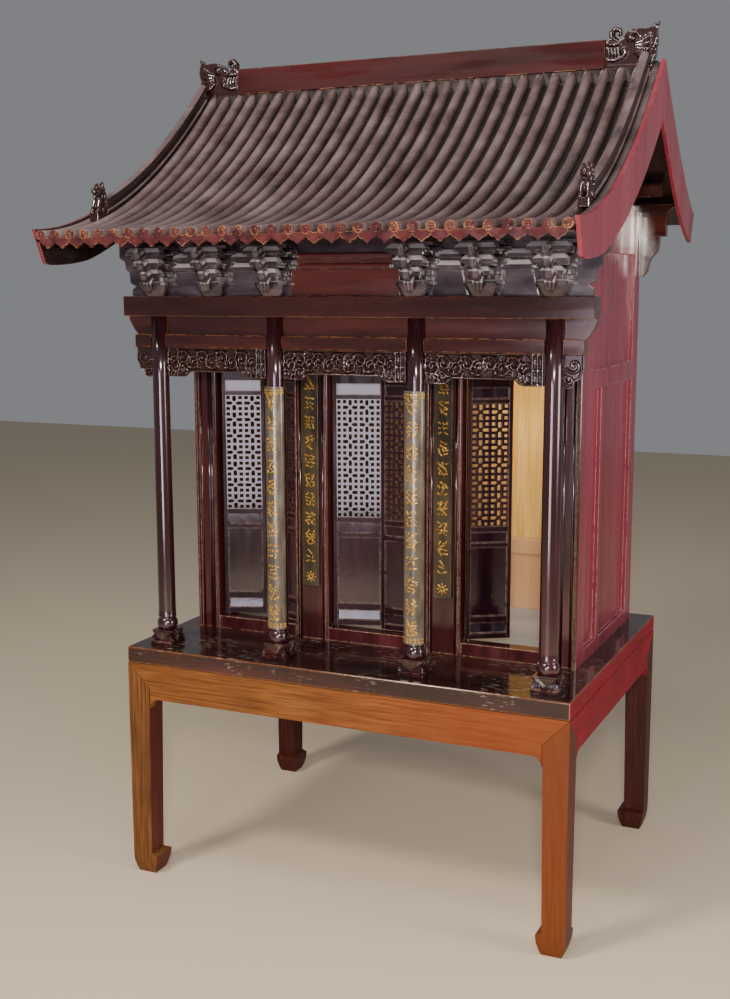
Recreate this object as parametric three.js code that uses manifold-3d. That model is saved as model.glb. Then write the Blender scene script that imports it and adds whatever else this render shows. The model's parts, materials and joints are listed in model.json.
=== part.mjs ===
// Household altar cabinet: a lacquered wooden shrine in the shape of a small temple, on a stand.
// Millimetres. X runs to the right, Y to the back, Z up. The origin is on the floor, under the
// middle of the roof's outline.
import * as THREE from 'three';
import { mergeVertices } from 'three/addons/utils/BufferGeometryUtils.js';
import Module from 'manifold-3d';

const wasm = await Module();
wasm.setup();

// ---------------------------------------------------------------- driving dimensions
const GAP = 0.3;                      // clearance kept between neighbouring pieces

const STAND = { width: 1150, front: -336, back: 518 };
const BOARD = { top: 603, thick: 41.5 };
const APRON = { height: 90, thick: 22, corner: 24 };
const LEG = { top: 62, ankle: 55, hoof: 70, toe: 48, shoulder: 56 };

const COLUMN = { xs: [-502, -180, 180, 502], y: -261, foot: 22, head: 20, sides: 10 };
const PEDESTAL = { plinth: 63, plinthHigh: 8, low: 58, high: 50, top: 641 };
const DRUM = { radius: 25.5, high: 30 };
const SLEEVE = { inner: 23.4, outer: 27, low: 678, high: 1266 };

const LINTEL = { half: 593, front: -281, back: -231, low: 1430, high: 1478 };
const FRIEZE = { low: 1385, front: -258, back: -235, halfTop: 592, halfLow: 568 };
const RAIL = { low: 1355, front: -270, half: 568 };
const FRET = { low: 1296, drop: 13, dropLong: 60, front: -267, plate: [-264, -258], back: -255 };

const WALL = { half: 518, front: -84.5, back: 466, frameThick: 30, top: 1626 };
const POST = { deep: 45, bead: 10, sink: 6.5 };
const OPENINGS = [[-455, -226], [-133, 133], [226, 455]];
const SILL = { high: 33, front: -80, back: -40 };
const HEAD = { low: 1296, high: 1477.7 };
const CEILING = { low: 1478, high: 1490 };
const COUPLET = { centre: 179.5, width: 46, thick: 8, low: 745 };

const LEAF = { low: 640, high: 1292, thick: 13, core: 5, stile: 8.5, edge: 3, pivot: 7, y: -49 };
const PEG = { radius: 3.5, long: 9, sides: 6, socket: 4.9, deep: 11 };
const OPEN_ANGLES = [22, 25, 18, 3, 32, 80];      // how far each leaf stands open, in degrees

const BACKING = { front: -256, back: -244, rails: [1541, 1565], clear: 70 };
const CLUSTER_XS = [-502, -341, -180, 180, 341, 502];

const APEX = { y: 151, z: 2022 };
const TILE = { pitch: 39.5, count: 32, radius: 12, crown: -3, pan: -16, under: -30 };
const ROOF_BACK = { half: 624, top: -12 };
const BARGE = { inner: 624.5, outer: 634.25, wide: 98, tail: 77 };
const EAVE_FRINGE = { deep: 12, tip: -46, notch: -29 };
const HIP = { x: 592.5, stem: 7.25, half: 13, top: 33, from: -350, to: 118 };
const RIDGE = { half: 494, thick: 30, top: 2071 };
const DRAGON = { from: 494.3, thick: 34, cheek: 42 };

// ---------------------------------------------------------------- finishes
const finish = (color, roughness) => new THREE.MeshStandardMaterial({ color, roughness, metalness: 0 });
const darkLacquer = finish(0x2a1614, 0.35);
const redLacquer = finish(0x54201f, 0.35);
const honeyWood = finish(0x8a5226, 0.5);
const tileLacquer = finish(0x4a3a3a, 0.5);
const rawWood = finish(0xc49c62, 0.8);
const couplet = finish(0x3c4034, 0.5);

// ---------------------------------------------------------------- making solids
function signedVolume(positions, index) {
  const [a, b, c] = [new THREE.Vector3(), new THREE.Vector3(), new THREE.Vector3()];
  let volume = 0;
  for (let i = 0; i < index.length; i += 3) {
    a.fromArray(positions, 3 * index[i]);
    b.fromArray(positions, 3 * index[i + 1]);
    c.fromArray(positions, 3 * index[i + 2]);
    volume += a.dot(b.cross(c)) / 6;
  }
  return volume;
}

// A geometry as a manifold solid, with its shared corners merged and its faces pointing out.
function solid(geometry) {
  const bare = geometry.clone();
  bare.deleteAttribute('normal');
  bare.deleteAttribute('uv');
  const merged = mergeVertices(bare, 1e-3);
  const vertProperties = Float32Array.from(merged.attributes.position.array);
  const triVerts = Uint32Array.from(merged.index.array);
  if (signedVolume(vertProperties, triVerts) < 0) {
    for (let i = 0; i < triVerts.length; i += 3) {
      [triVerts[i], triVerts[i + 1]] = [triVerts[i + 1], triVerts[i]];
    }
  }
  return new wasm.Manifold(new wasm.Mesh({ numProp: 3, vertProperties, triVerts }));
}

function join(...pieces) {
  return pieces.flat().map((piece) => (piece.isBufferGeometry ? solid(piece) : piece))
    .reduce((sum, piece) => sum.add(piece));
}

function box([x0, x1], [y0, y1], [z0, z1]) {
  const block = new THREE.BoxGeometry(x1 - x0, y1 - y0, z1 - z0);
  return block.translate((x0 + x1) / 2, (y0 + y1) / 2, (z0 + z1) / 2);
}

const AXES = {
  x: new THREE.Matrix4().set(0, 0, 1, 0, 1, 0, 0, 0, 0, 1, 0, 0, 0, 0, 0, 1),
  y: new THREE.Matrix4().set(1, 0, 0, 0, 0, 0, 1, 0, 0, 1, 0, 0, 0, 0, 0, 1),
  z: new THREE.Matrix4(),
};

// An outline drawn in the two other axes and run along one axis, with optional holes.
function prism(axis, outline, [from, to], holes = []) {
  const shape = new THREE.Shape(outline.map(([a, b]) => new THREE.Vector2(a, b)));
  const run = new THREE.ExtrudeGeometry(shape, { depth: to - from, bevelEnabled: false });
  run.translate(0, 0, from).applyMatrix4(AXES[axis]);
  return holes.reduce((piece, hole) => piece.subtract(solid(prism(axis, hole, [from - 1, to + 1]))),
    holes.length ? solid(run) : run);
}

// A closed solid through rings of points. flat() gives the two coordinates that the end caps are cut in.
function loft(sections, flat) {
  const outline = (ring) => ring.map((point) => new THREE.Vector2(...flat(point)));
  const clockwise = THREE.ShapeUtils.isClockWise(outline(sections[0]));
  const rings = clockwise ? sections.map((ring) => ring.toReversed()) : sections;
  const sides = rings[0].length;
  const index = [];
  for (let ring = 0; ring < rings.length - 1; ring += 1) {
    for (let i = 0; i < sides; i += 1) {
      const next = (i + 1) % sides;
      const [a, b] = [ring * sides + i, ring * sides + next];
      index.push(a, b, b + sides, a, b + sides, a + sides);
    }
  }
  const last = (rings.length - 1) * sides;
  const cap = (ring) => THREE.ShapeUtils.triangulateShape(outline(ring), []);
  cap(rings[0]).forEach(([a, b, c]) => index.push(a, c, b));
  cap(rings.at(-1)).forEach(([a, b, c]) => index.push(last + a, last + b, last + c));
  const shell = new THREE.BufferGeometry();
  shell.setAttribute('position', new THREE.BufferAttribute(Float32Array.from(rings.flat(2)), 3));
  shell.setIndex(index);
  return shell;
}

const rectangle = (a0, a1, b0, b1) => [[a0, b0], [a1, b0], [a1, b1], [a0, b1]];
const mirrored = (piece) => piece.scale([-1, 1, 1]);
const arc = (cx, cy, radius, from, to, steps) => Array.from({ length: steps + 1 }, (_, i) => {
  const angle = THREE.MathUtils.degToRad(from + ((to - from) * i) / steps);
  return [cx + radius * Math.cos(angle), cy + radius * Math.sin(angle)];
});

// ---------------------------------------------------------------- the object
const cabinet = new THREE.Group();
cabinet.name = 'altar_cabinet';

function add(name, piece, material, group = cabinet) {
  const { vertProperties, triVerts } = (piece.isBufferGeometry ? solid(piece) : piece).getMesh();
  const geometry = new THREE.BufferGeometry();
  geometry.setAttribute('position', new THREE.BufferAttribute(vertProperties, 3));
  geometry.setIndex(new THREE.BufferAttribute(triVerts, 1));
  const mesh = new THREE.Mesh(geometry, material);
  mesh.name = name;
  group.add(mesh);
}

function addPair(name, piece, material) {
  add(`${name}_right`, piece, material);
  add(`${name}_left`, mirrored(piece), material);
}

// ---------------------------------------------------------------- stand
const standMiddle = (STAND.front + STAND.back) / 2;
const standDepth = STAND.back - STAND.front;
const underBoard = BOARD.top - BOARD.thick - GAP;

// One apron along X with its outer face at y = 0 and its top at z = 0. Its ends run up over the legs
// in a mitre, and it drops into the legs in small spandrels.
function apron(length, grow = 0) {
  const half = length / 2;
  const inner = half - LEG.top + grow;
  const tip = half - GAP + grow;
  const spandrel = (side) => arc(side * (inner - APRON.corner), -APRON.height - APRON.corner,
    APRON.corner, side > 0 ? 0 : 180, 90, 3);
  const face = [[tip, 0], [inner, -LEG.top], ...spandrel(1), ...spandrel(-1).reverse(),
    [-inner, -LEG.top], [-tip, 0]];
  const plan = [[-half + GAP, -1], [half - GAP, -1], [half - GAP, 0], [half - GAP - APRON.thick, APRON.thick + grow],
    [-half + GAP + APRON.thick, APRON.thick + grow], [-half + GAP, 0]];
  return solid(prism('y', face, [0, APRON.thick + grow]))
    .intersect(solid(prism('z', plan, [-APRON.height - APRON.corner - 1, 1])));
}

const APRON_SIDES = [
  { name: 'front', length: STAND.width, at: [0, STAND.front], turn: 0 },
  { name: 'right', length: standDepth, at: [STAND.width / 2, standMiddle], turn: 90 },
  { name: 'back', length: STAND.width, at: [0, STAND.back], turn: 180 },
  { name: 'left', length: standDepth, at: [-STAND.width / 2, standMiddle], turn: 270 },
];
const placeApron = (side, grow) => apron(side.length, grow).rotate([0, 0, side.turn])
  .translate([side.at[0], side.at[1], underBoard]);

// A leg in its own corner: square in section, straight outside and tapered inside, on a hoof turned in.
function leg() {
  const levels = [
    [underBoard - GAP, 0, LEG.top], [LEG.shoulder, 0, LEG.ankle], [LEG.shoulder - 6, 0, LEG.hoof],
    [32, 1, LEG.hoof - 2], [14, 5, LEG.hoof - 7], [0, 10, 10 + LEG.toe]];
  return loft(levels.map(([z, a, b]) => [[a, a, z], [b, a, z], [b, b, z], [a, b, z]]), ([x, y]) => [x, y]);
}

function addStand() {
  const edge = 2;
  const top = [[-1, -1], [1, -1], [1, 1], [-1, 1]];
  const rim = (inset, z) => top.map(([x, y]) => [x * (STAND.width / 2 - inset),
    standMiddle + y * (standDepth / 2 - inset), z]);
  add('platform_board', loft([rim(edge, BOARD.top - BOARD.thick), rim(0, BOARD.top - BOARD.thick + edge),
    rim(0, BOARD.top - edge), rim(edge, BOARD.top)], ([x, y]) => [x, y]), darkLacquer);
  APRON_SIDES.forEach((side) => add(`apron_${side.name}`, placeApron(side, 0), honeyWood));
  const cutters = APRON_SIDES.map((side) => placeApron(side, GAP));
  [['front', 1], ['back', -1]].forEach(([depth, inY]) => [['left', 1], ['right', -1]].forEach(([side, inX]) => {
    const y = inY > 0 ? STAND.front : STAND.back;
    let post = solid(leg()).scale([inX, inY, 1]).translate([-inX * (STAND.width / 2), y, 0]);
    cutters.forEach((cutter) => { post = post.subtract(cutter); });
    add(`leg_${depth}_${side}`, post, honeyWood);
  }));
}

// ---------------------------------------------------------------- porch
function column() {
  const foot = BOARD.top + GAP;
  const drum = PEDESTAL.top;
  const profile = [[0, drum - 4], [20, drum - 4], [DRUM.radius, drum + 8], [DRUM.radius, drum + DRUM.high - 10],
    [COLUMN.foot, drum + DRUM.high], [COLUMN.head, LINTEL.low - GAP], [0, LINTEL.low - GAP]];
  const shaft = new THREE.LatheGeometry(profile.map(([r, z]) => new THREE.Vector2(r, z)), COLUMN.sides);
  shaft.rotateX(Math.PI / 2);
  const square = (half, z) => [[-half, -half, z], [half, -half, z], [half, half, z], [-half, half, z]];
  const shelf = foot + PEDESTAL.plinthHigh;
  const body = loft([square(PEDESTAL.low / 2, shelf - 1), square(PEDESTAL.high / 2, drum)], ([x, y]) => [x, y]);
  const half = PEDESTAL.plinth / 2;
  const flap = [[-24, drum], [0, shelf + 3], [24, drum]];
  const proud = PEDESTAL.low / 2 + 1.5;
  return join(shaft, body, box([-half, half], [-half, half], [foot, shelf]),
    prism('y', flap, [-proud, proud]), prism('x', flap, [-proud, proud]));
}

// A carved volute: a band that curls in on itself, thick enough to stand proud of its plate.
function volute(cx, cz, size, hand, start) {
  const steps = 4;
  const edge = (inset) => Array.from({ length: steps + 1 }, (_, i) => {
    const t = i / steps;
    const angle = start + hand * t * 1.55 * Math.PI;
    const radius = size * (1 - 0.5 * t) - inset * (1 - 0.35 * t);
    return [cx + radius * Math.cos(angle), cz + radius * Math.sin(angle)];
  });
  const outline = [...edge(0), ...edge(size * 0.36).reverse()];
  return prism('y', outline, [FRET.front, FRET.back]);
}

function fret(x0, x1) {
  const [left, right] = [x0 + COLUMN.head + 2.2, x1 - COLUMN.head - 2.2];
  const [top, low] = [RAIL.low - GAP, FRET.low];
  const lobes = (side, x) => [[x, low - FRET.drop + 3], [x + side * 8, low - FRET.drop],
    [x + side * (FRET.dropLong - 12), low - FRET.drop], [x + side * FRET.dropLong, low - 3],
    [x + side * (FRET.dropLong + 8), low]];
  const outline = [[left, top], ...lobes(1, left), ...lobes(-1, right).reverse(), [right, top]];
  const plate = prism('y', outline, FRET.plate);
  const middle = (left + right) / 2;
  const mid = (top + low) / 2;
  const size = (top - low) / 2 - 3;
  const reach = (right - left) / 2;
  const volutes = [0.28, 0.7].flatMap((share, i) => [1, -1].map((side) => volute(middle + side * share * reach,
    mid - i * 4, size, side * (i ? -1 : 1), side > 0 ? 0.2 : Math.PI - 0.2)));
  const boss = [[middle - 12, mid], [middle, low + 6], [middle + 12, mid], [middle, top - 6]];
  return join(plate, volutes, prism('y', boss, [FRET.front, FRET.back]));
}

function endBracket() {
  const left = COLUMN.xs[3] + COLUMN.head + 2.2;
  const top = RAIL.low - GAP;
  const outline = [[left, top], [left, 1284], [left + 8, 1281], [left + 20, 1284], [left + 24, 1298],
    [left + 36, 1302], [left + 40, 1316], [left + 45, 1322], [left + 44, top]];
  return join(prism('y', outline, FRET.plate), volute(left + 20, 1326, 18, -1, 2.6));
}

function frieze() {
  const ogee = (side) => [[side * FRIEZE.halfTop, LINTEL.low - GAP], [side * FRIEZE.halfTop, LINTEL.low - 9],
    [side * (FRIEZE.halfLow + 12), FRIEZE.low + 16], [side * FRIEZE.halfLow, FRIEZE.low - 0.5]];
  const board = prism('y', [...ogee(1), ...ogee(-1).reverse()], [FRIEZE.front, FRIEZE.back]);
  const rail = box([-RAIL.half, RAIL.half], [RAIL.front, FRIEZE.back], [RAIL.low, FRIEZE.low]);
  let piece = join(board, rail);
  const clear = COLUMN.head + 0.8;
  COLUMN.xs.forEach((x) => {
    piece = piece.subtract(solid(box([x - clear, x + clear], [RAIL.front - 1, COLUMN.y + clear],
      [RAIL.low - 1, LINTEL.low])));
  });
  return piece;
}

function addPorch() {
  const names = ['column_far_left', 'column_near_left', 'column_near_right', 'column_far_right'];
  COLUMN.xs.forEach((x, i) => add(names[i], column().translate([x, COLUMN.y, 0]), darkLacquer));
  const ring = (r) => arc(0, 0, r, 180, 360, 6);
  const sleeve = solid(prism('z', [...ring(SLEEVE.outer), ...ring(SLEEVE.inner).reverse()],
    [SLEEVE.low, SLEEVE.high])).translate([COLUMN.xs[2], COLUMN.y, 0]);
  addPair('couplet_sleeve', sleeve, couplet);
  add('lintel', box([-LINTEL.half, LINTEL.half], [LINTEL.front, LINTEL.back], [LINTEL.low, LINTEL.high]),
    darkLacquer);
  add('frieze_board', frieze(), darkLacquer);
  ['left', 'middle', 'right'].forEach((bay, i) => add(`carved_fret_${bay}`,
    fret(COLUMN.xs[i], COLUMN.xs[i + 1]), darkLacquer));
  addPair('end_bracket', endBracket(), darkLacquer);
}

// ---------------------------------------------------------------- roof surfaces
// A roof slope that sags between its eave and the apex. Levels are measured square to the slope from
// the top edge of the barge boards, and the surface is straight between its stations.
function makeSlope(eaveY, eaveZ, bend, segments) {
  const run = APEX.y - eaveY;
  const rise = APEX.z - eaveZ;
  const stations = Array.from({ length: segments + 1 }, (_, i) => {
    const t = i / segments;
    return { y: eaveY + run * t, z: eaveZ + rise * t ** bend, lift: Math.hypot(1, (rise * bend * t ** (bend - 1)) / run) };
  });
  const at = (y, level) => {
    const place = THREE.MathUtils.clamp((y - eaveY) / run, 0, 1) * segments;
    const i = Math.min(Math.floor(place), segments - 1);
    const mix = (key) => THREE.MathUtils.lerp(stations[i][key], stations[i + 1][key], place - i);
    return mix('z') + level * mix('lift');
  };
  const between = (y0, y1) => {
    const [low, high] = [Math.min(y0, y1), Math.max(y0, y1)];
    const inner = stations.map(({ y }) => y).filter((y) => y > low + 1 && y < high - 1);
    inner.sort((a, b) => (y1 > y0 ? a - b : b - a));
    return [y0, ...inner, y1];
  };
  return { eaveY, at, between };
}
const frontSlope = makeSlope(-572, 1630, 1.8, 5);
const backSlope = makeSlope(572, 1690, 1.3, 4);

// A section of [x, level] points run along a slope.
const alongSlope = (slope, y0, y1, section) => loft(slope.between(y0, y1)
  .map((y) => section.map(([x, level]) => [x, y, slope.at(y, level)])), ([x, , z]) => [x, z]);

const ribCentres = Array.from({ length: TILE.count }, (_, i) => (i - (TILE.count - 1) / 2) * TILE.pitch);
const tiledHalf = ribCentres.at(-1) + TILE.radius;

// The front slope: a deck with a round rib over each joint of the tiles, and a pointed drip tile
// hanging from the eave between each two ribs.
function tiledSlope() {
  const eave = frontSlope.eaveY;
  const crowns = ribCentres.flatMap((x) => [[x - TILE.radius, TILE.pan], [x - TILE.radius / 2, TILE.crown],
    [x + TILE.radius / 2, TILE.crown], [x + TILE.radius, TILE.pan]]);
  const deck = alongSlope(frontSlope, eave, APEX.y - GAP / 2,
    [[-tiledHalf, TILE.under], ...crowns, [tiledHalf, TILE.under]]);
  const level = (l) => frontSlope.at(eave, l);
  const drips = ribCentres.slice(1).flatMap((x) => [[x - TILE.pitch / 2, level(EAVE_FRINGE.tip)],
    [x, level(EAVE_FRINGE.notch)]]);
  const fringe = prism('y', [[-tiledHalf, level(TILE.pan - 2)], [-tiledHalf, level(EAVE_FRINGE.notch)], ...drips,
    [tiledHalf, level(EAVE_FRINGE.notch)], [tiledHalf, level(TILE.pan - 2)]], [eave, eave + EAVE_FRINGE.deep]);
  return join(deck, fringe);
}

const backDeck = () => alongSlope(backSlope, APEX.y + GAP / 2, backSlope.eaveY,
  [[-ROOF_BACK.half, TILE.under], [-ROOF_BACK.half, ROOF_BACK.top], [ROOF_BACK.half, ROOF_BACK.top],
    [ROOF_BACK.half, TILE.under]]);

// A barge board: deep at the apex, narrower at its tail, which is cut back under the eave.
function barge(slope) {
  const toApex = Math.sign(APEX.y - slope.eaveY);
  const cut = 34;
  const ys = slope.between(slope.eaveY, APEX.y - toApex * GAP / 2);
  const rings = ys.map((y, i) => {
    const t = Math.min(1, Math.abs(y - slope.eaveY) / 200);
    const depth = i ? THREE.MathUtils.lerp(BARGE.tail, BARGE.wide, t) : BARGE.tail;
    const foot = i ? y : y + toApex * cut;
    return [[BARGE.inner, y, slope.at(y, 0)], [BARGE.outer, y, slope.at(y, 0)],
      [BARGE.outer, foot, slope.at(foot, -depth)], [BARGE.inner, foot, slope.at(foot, -depth)]];
  });
  return loft(rings, ([x, , z]) => [x, z]);
}

// A closed outline in Y and Z under the whole roof, from one y to another, kept below its boards.
const underRoof = (y0, y1, level) => [
  ...frontSlope.between(y0, APEX.y).map((y) => [y, frontSlope.at(y, level)]),
  ...backSlope.between(APEX.y, y1).slice(1).map((y) => [y, backSlope.at(y, level)])];

// A descending ridge that stands on the slope between two ribs, with a seated beast at its foot that
// faces down the slope.
function descendingRidge() {
  const { x, stem, half, top } = HIP;
  const section = [[x - stem, TILE.pan + GAP], [x + stem, TILE.pan + GAP], [x + stem, TILE.crown + GAP],
    [x + half, TILE.crown + GAP], [x + half, top - 11], [x + 8, top], [x - 8, top], [x - half, top - 11],
    [x - half, TILE.crown + GAP], [x - stem, TILE.crown + GAP]];
  const ridge = alongSlope(frontSlope, HIP.from, HIP.to, section);
  const base = section.filter(([, level]) => level < top).map(([px, level]) => [px, Math.min(level, 5)]);
  const seat = alongSlope(frontSlope, HIP.from - 42, HIP.from + 2, base);
  const ground = frontSlope.at(HIP.from - 20, 2);
  const part = (outline, wide) => prism('x', outline.map(([u, v]) => [HIP.from + u, ground + v]), [x - wide, x + wide]);
  const body = [[-36, -6], [-38, 2], [-29, 7], [-27, 30], [-20, 44], [-2, 56], [6, 60], [8, 12], [2, 2], [-20, -3]];
  const head = [[-24, 34], [-38, 38], [-39, 49], [-30, 57], [-24, 70], [-10, 73], [-2, 60], [-6, 38]];
  const haunch = [[-26, -3], [-24, 6], [-16, 20], [-4, 24], [5, 14], [2, 2]];
  return join(ridge, seat, part(body, 8), part(head, 11), part(haunch, 13));
}

function ridgeBeam() {
  const half = RIDGE.thick / 2;
  const bed = TILE.crown + GAP * 2;
  const outline = [[APEX.y - half, RIDGE.top], [APEX.y - half, frontSlope.at(APEX.y - half, bed)],
    [APEX.y, frontSlope.at(APEX.y, bed)], [APEX.y + half, backSlope.at(APEX.y + half, bed)],
    [APEX.y + half, RIDGE.top]];
  return prism('x', outline, [-RIDGE.half, RIDGE.half]);
}

// A dragon head that bites the end of the ridge: curled snout, crest, pointed tail fin and a beard.
function dragon() {
  const x = DRAGON.from;
  const outline = [[0, 2004], [0, 2066], [6, 2073], [2, 2080], [4, 2090], [14, 2096], [25, 2093], [30, 2083],
    [40, 2077], [46, 2084], [52, 2095], [68, 2101], [88, 2098], [104, 2099], [116, 2104], [126, 2108], [122, 2088],
    [126, 2066], [117, 2048], [124, 2030], [114, 2014], [96, 2004]].map(([u, z]) => [x + u, z]);
  const cheek = [[34, 2016], [28, 2040], [36, 2066], [52, 2086], [76, 2090], [92, 2076], [98, 2050], [88, 2022],
    [60, 2010]].map(([u, z]) => [x + u, z]);
  const across = (width) => [APEX.y - width / 2, APEX.y + width / 2];
  const roof = prism('x', [[APEX.y - 60, 1900], ...underRoof(APEX.y - 60, APEX.y + 60, TILE.crown + GAP),
    [APEX.y + 60, 1900]], [x - 5, x + 200]);
  const eye = new THREE.SphereGeometry(8, 6, 4).scale(1, (DRAGON.cheek / 2 + 4) / 8, 1);
  return join(prism('y', outline, across(DRAGON.thick)), prism('y', cheek, across(DRAGON.cheek)),
    eye.translate(x + 60, APEX.y, 2070)).subtract(solid(roof));
}

function addRoof() {
  add('roof_front', tiledSlope(), tileLacquer);
  add('roof_back', backDeck(), redLacquer);
  addPair('barge_front', solid(barge(frontSlope)), redLacquer);
  addPair('barge_back', solid(barge(backSlope)), redLacquer);
  addPair('descending_ridge', descendingRidge(), tileLacquer);
  add('ridge_beam', ridgeBeam(), darkLacquer);
  addPair('ridge_dragon', dragon(), darkLacquer);
}

// ---------------------------------------------------------------- brackets
// The board behind the bracket clusters, with stepped ends and two rails across its middle.
function backing() {
  const top = frontSlope.at(BACKING.front, TILE.under) - 1;
  const steps = (side) => [[582, LINTEL.high + GAP], [582, 1494], [571, 1502], [587, 1510], [590, 1536], [600, 1543],
    [602, 1562], [618, 1571], [618, top]].map(([x, z]) => [side * x, z]);
  const board = prism('y', [...steps(1), ...steps(-1).reverse()], [BACKING.front, BACKING.back]);
  const reach = CLUSTER_XS[3] - BACKING.clear;
  const rails = BACKING.rails.map((z) => box([-reach, reach], [BACKING.front - 9, BACKING.front + 1], [z, z + 12]));
  return join(board, rails);
}

// A bracket cluster on the lintel: a flared block, tiers of arms that widen and step forward as they
// rise, and a beak at the front of each tier that reaches further out than the one below it.
function cluster() {
  const low = LINTEL.high + GAP;
  const back = BACKING.front - GAP;
  const half = [[28, 0], [37, 26], [30, 30], [30, 42], [46, 46], [46, 64], [58, 70], [58, 88], [67, 94], [67, 118]];
  const tree = [...half, ...half.map(([x, z]) => [-x, z]).reverse()].map(([x, z]) => [x, low + z]);
  const tiers = [{ reach: 44, wide: 30, z: 46 }, { reach: 58, wide: 44, z: 71 }, { reach: 72, wide: 58, z: 96 }];
  const arms = tiers.map(({ reach, wide, z }) => box([-wide, wide], [back - reach, back - 30],
    [low + z, low + z + 15]));
  const beaks = tiers.map(({ reach, z }) => prism('x', [[back - 30, low + z], [back - reach, low + z - 8],
    [back - reach - 26, low + z - 2], [back - reach - 30, low + z + 10], [back - reach, low + z + 6]], [-8, 8]));
  return join(prism('y', tree, [back - 34, back]), arms, beaks);
}

function addBrackets() {
  add('bracket_backing', backing(), darkLacquer);
  const names = ['left_outer', 'left_middle', 'left_inner', 'right_inner', 'right_middle', 'right_outer'];
  CLUSTER_XS.forEach((x, i) => add(`bracket_cluster_${names[i]}`, cluster().translate([x, 0, 0]), darkLacquer));
}

// ---------------------------------------------------------------- body
// A post between two edges: a bead along each edge of its front and a sunk face between them.
function postOutline(x0, x1) {
  const [front, back] = [WALL.front, WALL.front + POST.deep];
  const bead = (x, side) => [[x, front + 3], [x + side * 3, front], [x + side * (POST.bead - 3), front],
    [x + side * POST.bead, front + POST.sink]];
  return [[x0, back], ...bead(x0, 1), ...bead(x1, -1).reverse(), [x1, back]];
}

const boardTop = BOARD.top + GAP;

function sideWall() {
  const [inner, outer] = [WALL.half - WALL.frameThick, WALL.half];
  const behindPost = WALL.front + POST.deep;
  const cornerPost = prism('z', postOutline(OPENINGS[2][1], outer), [boardTop, WALL.top]);
  const panels = [rectangle(-20, 406, 1305, 1580), rectangle(-20, 95, 636, 1260), rectangle(119, 406, 636, 1260)];
  const frame = prism('x', rectangle(behindPost - 1, WALL.back, boardTop, WALL.top), [inner, outer], panels);
  const filled = panels.map(([[y0, z0], , [y1, z1]]) => box([inner + 8, outer - 10], [y0 - 1, y1 + 1], [z0 - 1, z1 + 1]));
  const purlin = PURLINS.upper;
  const top = underRoof(behindPost - 1, PURLINS.lower.y[0] - GAP, TILE.under - 1);
  const gable = prism('x', [[behindPost - 1, WALL.top - 1], ...top, [PURLINS.lower.y[0] - GAP, WALL.top - 1]],
    [inner + 8, outer - 10]);
  const tie = prism('x', rectangle(behindPost - 1, PURLINS.lower.y[0] - GAP, WALL.top - 1, 1690), [inner + 8, outer]);
  const notch = box([0, 700], [purlin.y[0] - GAP, purlin.y[1] + GAP], [purlin.z[0] - GAP, purlin.z[1] + 40]);
  return join(cornerPost, frame, filled, gable, tie).subtract(solid(notch));
}

// Two beams under the back slope, whose ends stand out of the gables.
const PURLINS = {
  lower: { y: [442, 466], z: [WALL.top + GAP, 1671], half: 588, wing: 1524 },
  upper: { y: [372, 400], z: [1722, 1750], half: 590 },
};

function lowerPurlin() {
  const { y, z, half, wing } = PURLINS.lower;
  const top = backSlope.at(y[1], TILE.under - 1);
  const inner = WALL.half + GAP;
  const end = (side) => [[inner, z[0]], [inner, wing], [530, wing + 1], [541, wing + 14], [545, wing + 34],
    [550, wing + 46], [558, wing + 56], [566, wing + 64], [570, wing + 80], [571, z[0]], [half, z[0]], [half, z[1]],
    [592, 1686], [600, 1696], [610, 1700], [610, top]].map(([x, h]) => [side * x, h]);
  return prism('y', [...end(1), ...end(-1).reverse()], y);
}

function upperPurlin() {
  const { y, z, half } = PURLINS.upper;
  const outline = [[y[0], z[0]], [y[1], z[0]], [y[1], Math.min(z[1], backSlope.at(y[1], TILE.under - 1))],
    [y[0], z[1]]];
  return prism('x', outline, [-half, half]);
}

function backWall() {
  const half = WALL.half - WALL.frameThick - GAP;
  const [y0, y1] = [WALL.back - 18, WALL.back];
  const panels = [-1, 0, 1].flatMap((i) => [[655, 760], [800, 1560]].map(([z0, z1]) => rectangle(i * 318 - 136,
    i * 318 + 136, z0, z1)));
  const frame = prism('y', rectangle(-half, half, boardTop, WALL.top), [y0, y1], panels);
  const filled = panels.map(([[x0, z0], , [x1, z1]]) => box([x0 - 1, x1 + 1], [y0 + 5, y1 - 6], [z0 - 1, z1 + 1]));
  return join(frame, filled);
}

function ceiling() {
  const [wide, narrow] = [WALL.half - WALL.frameThick - GAP, OPENINGS[2][1] - GAP];
  const [front, step, back] = [LINTEL.back + GAP, WALL.front + POST.deep + GAP, WALL.back - 18 - GAP];
  return prism('z', [[-narrow, front], [narrow, front], [narrow, step], [wide, step], [wide, back], [-wide, back],
    [-wide, step], [-narrow, step]], [CEILING.low, CEILING.high]);
}

// The six leaves, each with the place of its pivot and the way it lies from there.
const leaves = OPENINGS.flatMap(([x0, x1], bay) => [[x0, 1], [x1, -1]].map(([edge, side], i) => ({
  name: `door_${['left', 'middle', 'right'][bay]}_bay_${['left', 'right'][i]}`,
  side,
  pivot: edge + side * (LEAF.edge + LEAF.pivot),
  width: (x1 - x0) / 2 - LEAF.edge - 1.5,
  open: OPEN_ANGLES[bay * 2 + i],
})));

function socketed(piece, x0, x1, z) {
  let result = piece;
  leaves.filter(({ pivot }) => pivot > x0 && pivot < x1).forEach(({ pivot }) => {
    const socket = new THREE.CylinderGeometry(PEG.socket, PEG.socket, PEG.deep * 2, PEG.sides).rotateX(Math.PI / 2);
    result = result.subtract(solid(socket.translate(pivot, LEAF.y, z)));
  });
  return result;
}

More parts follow.
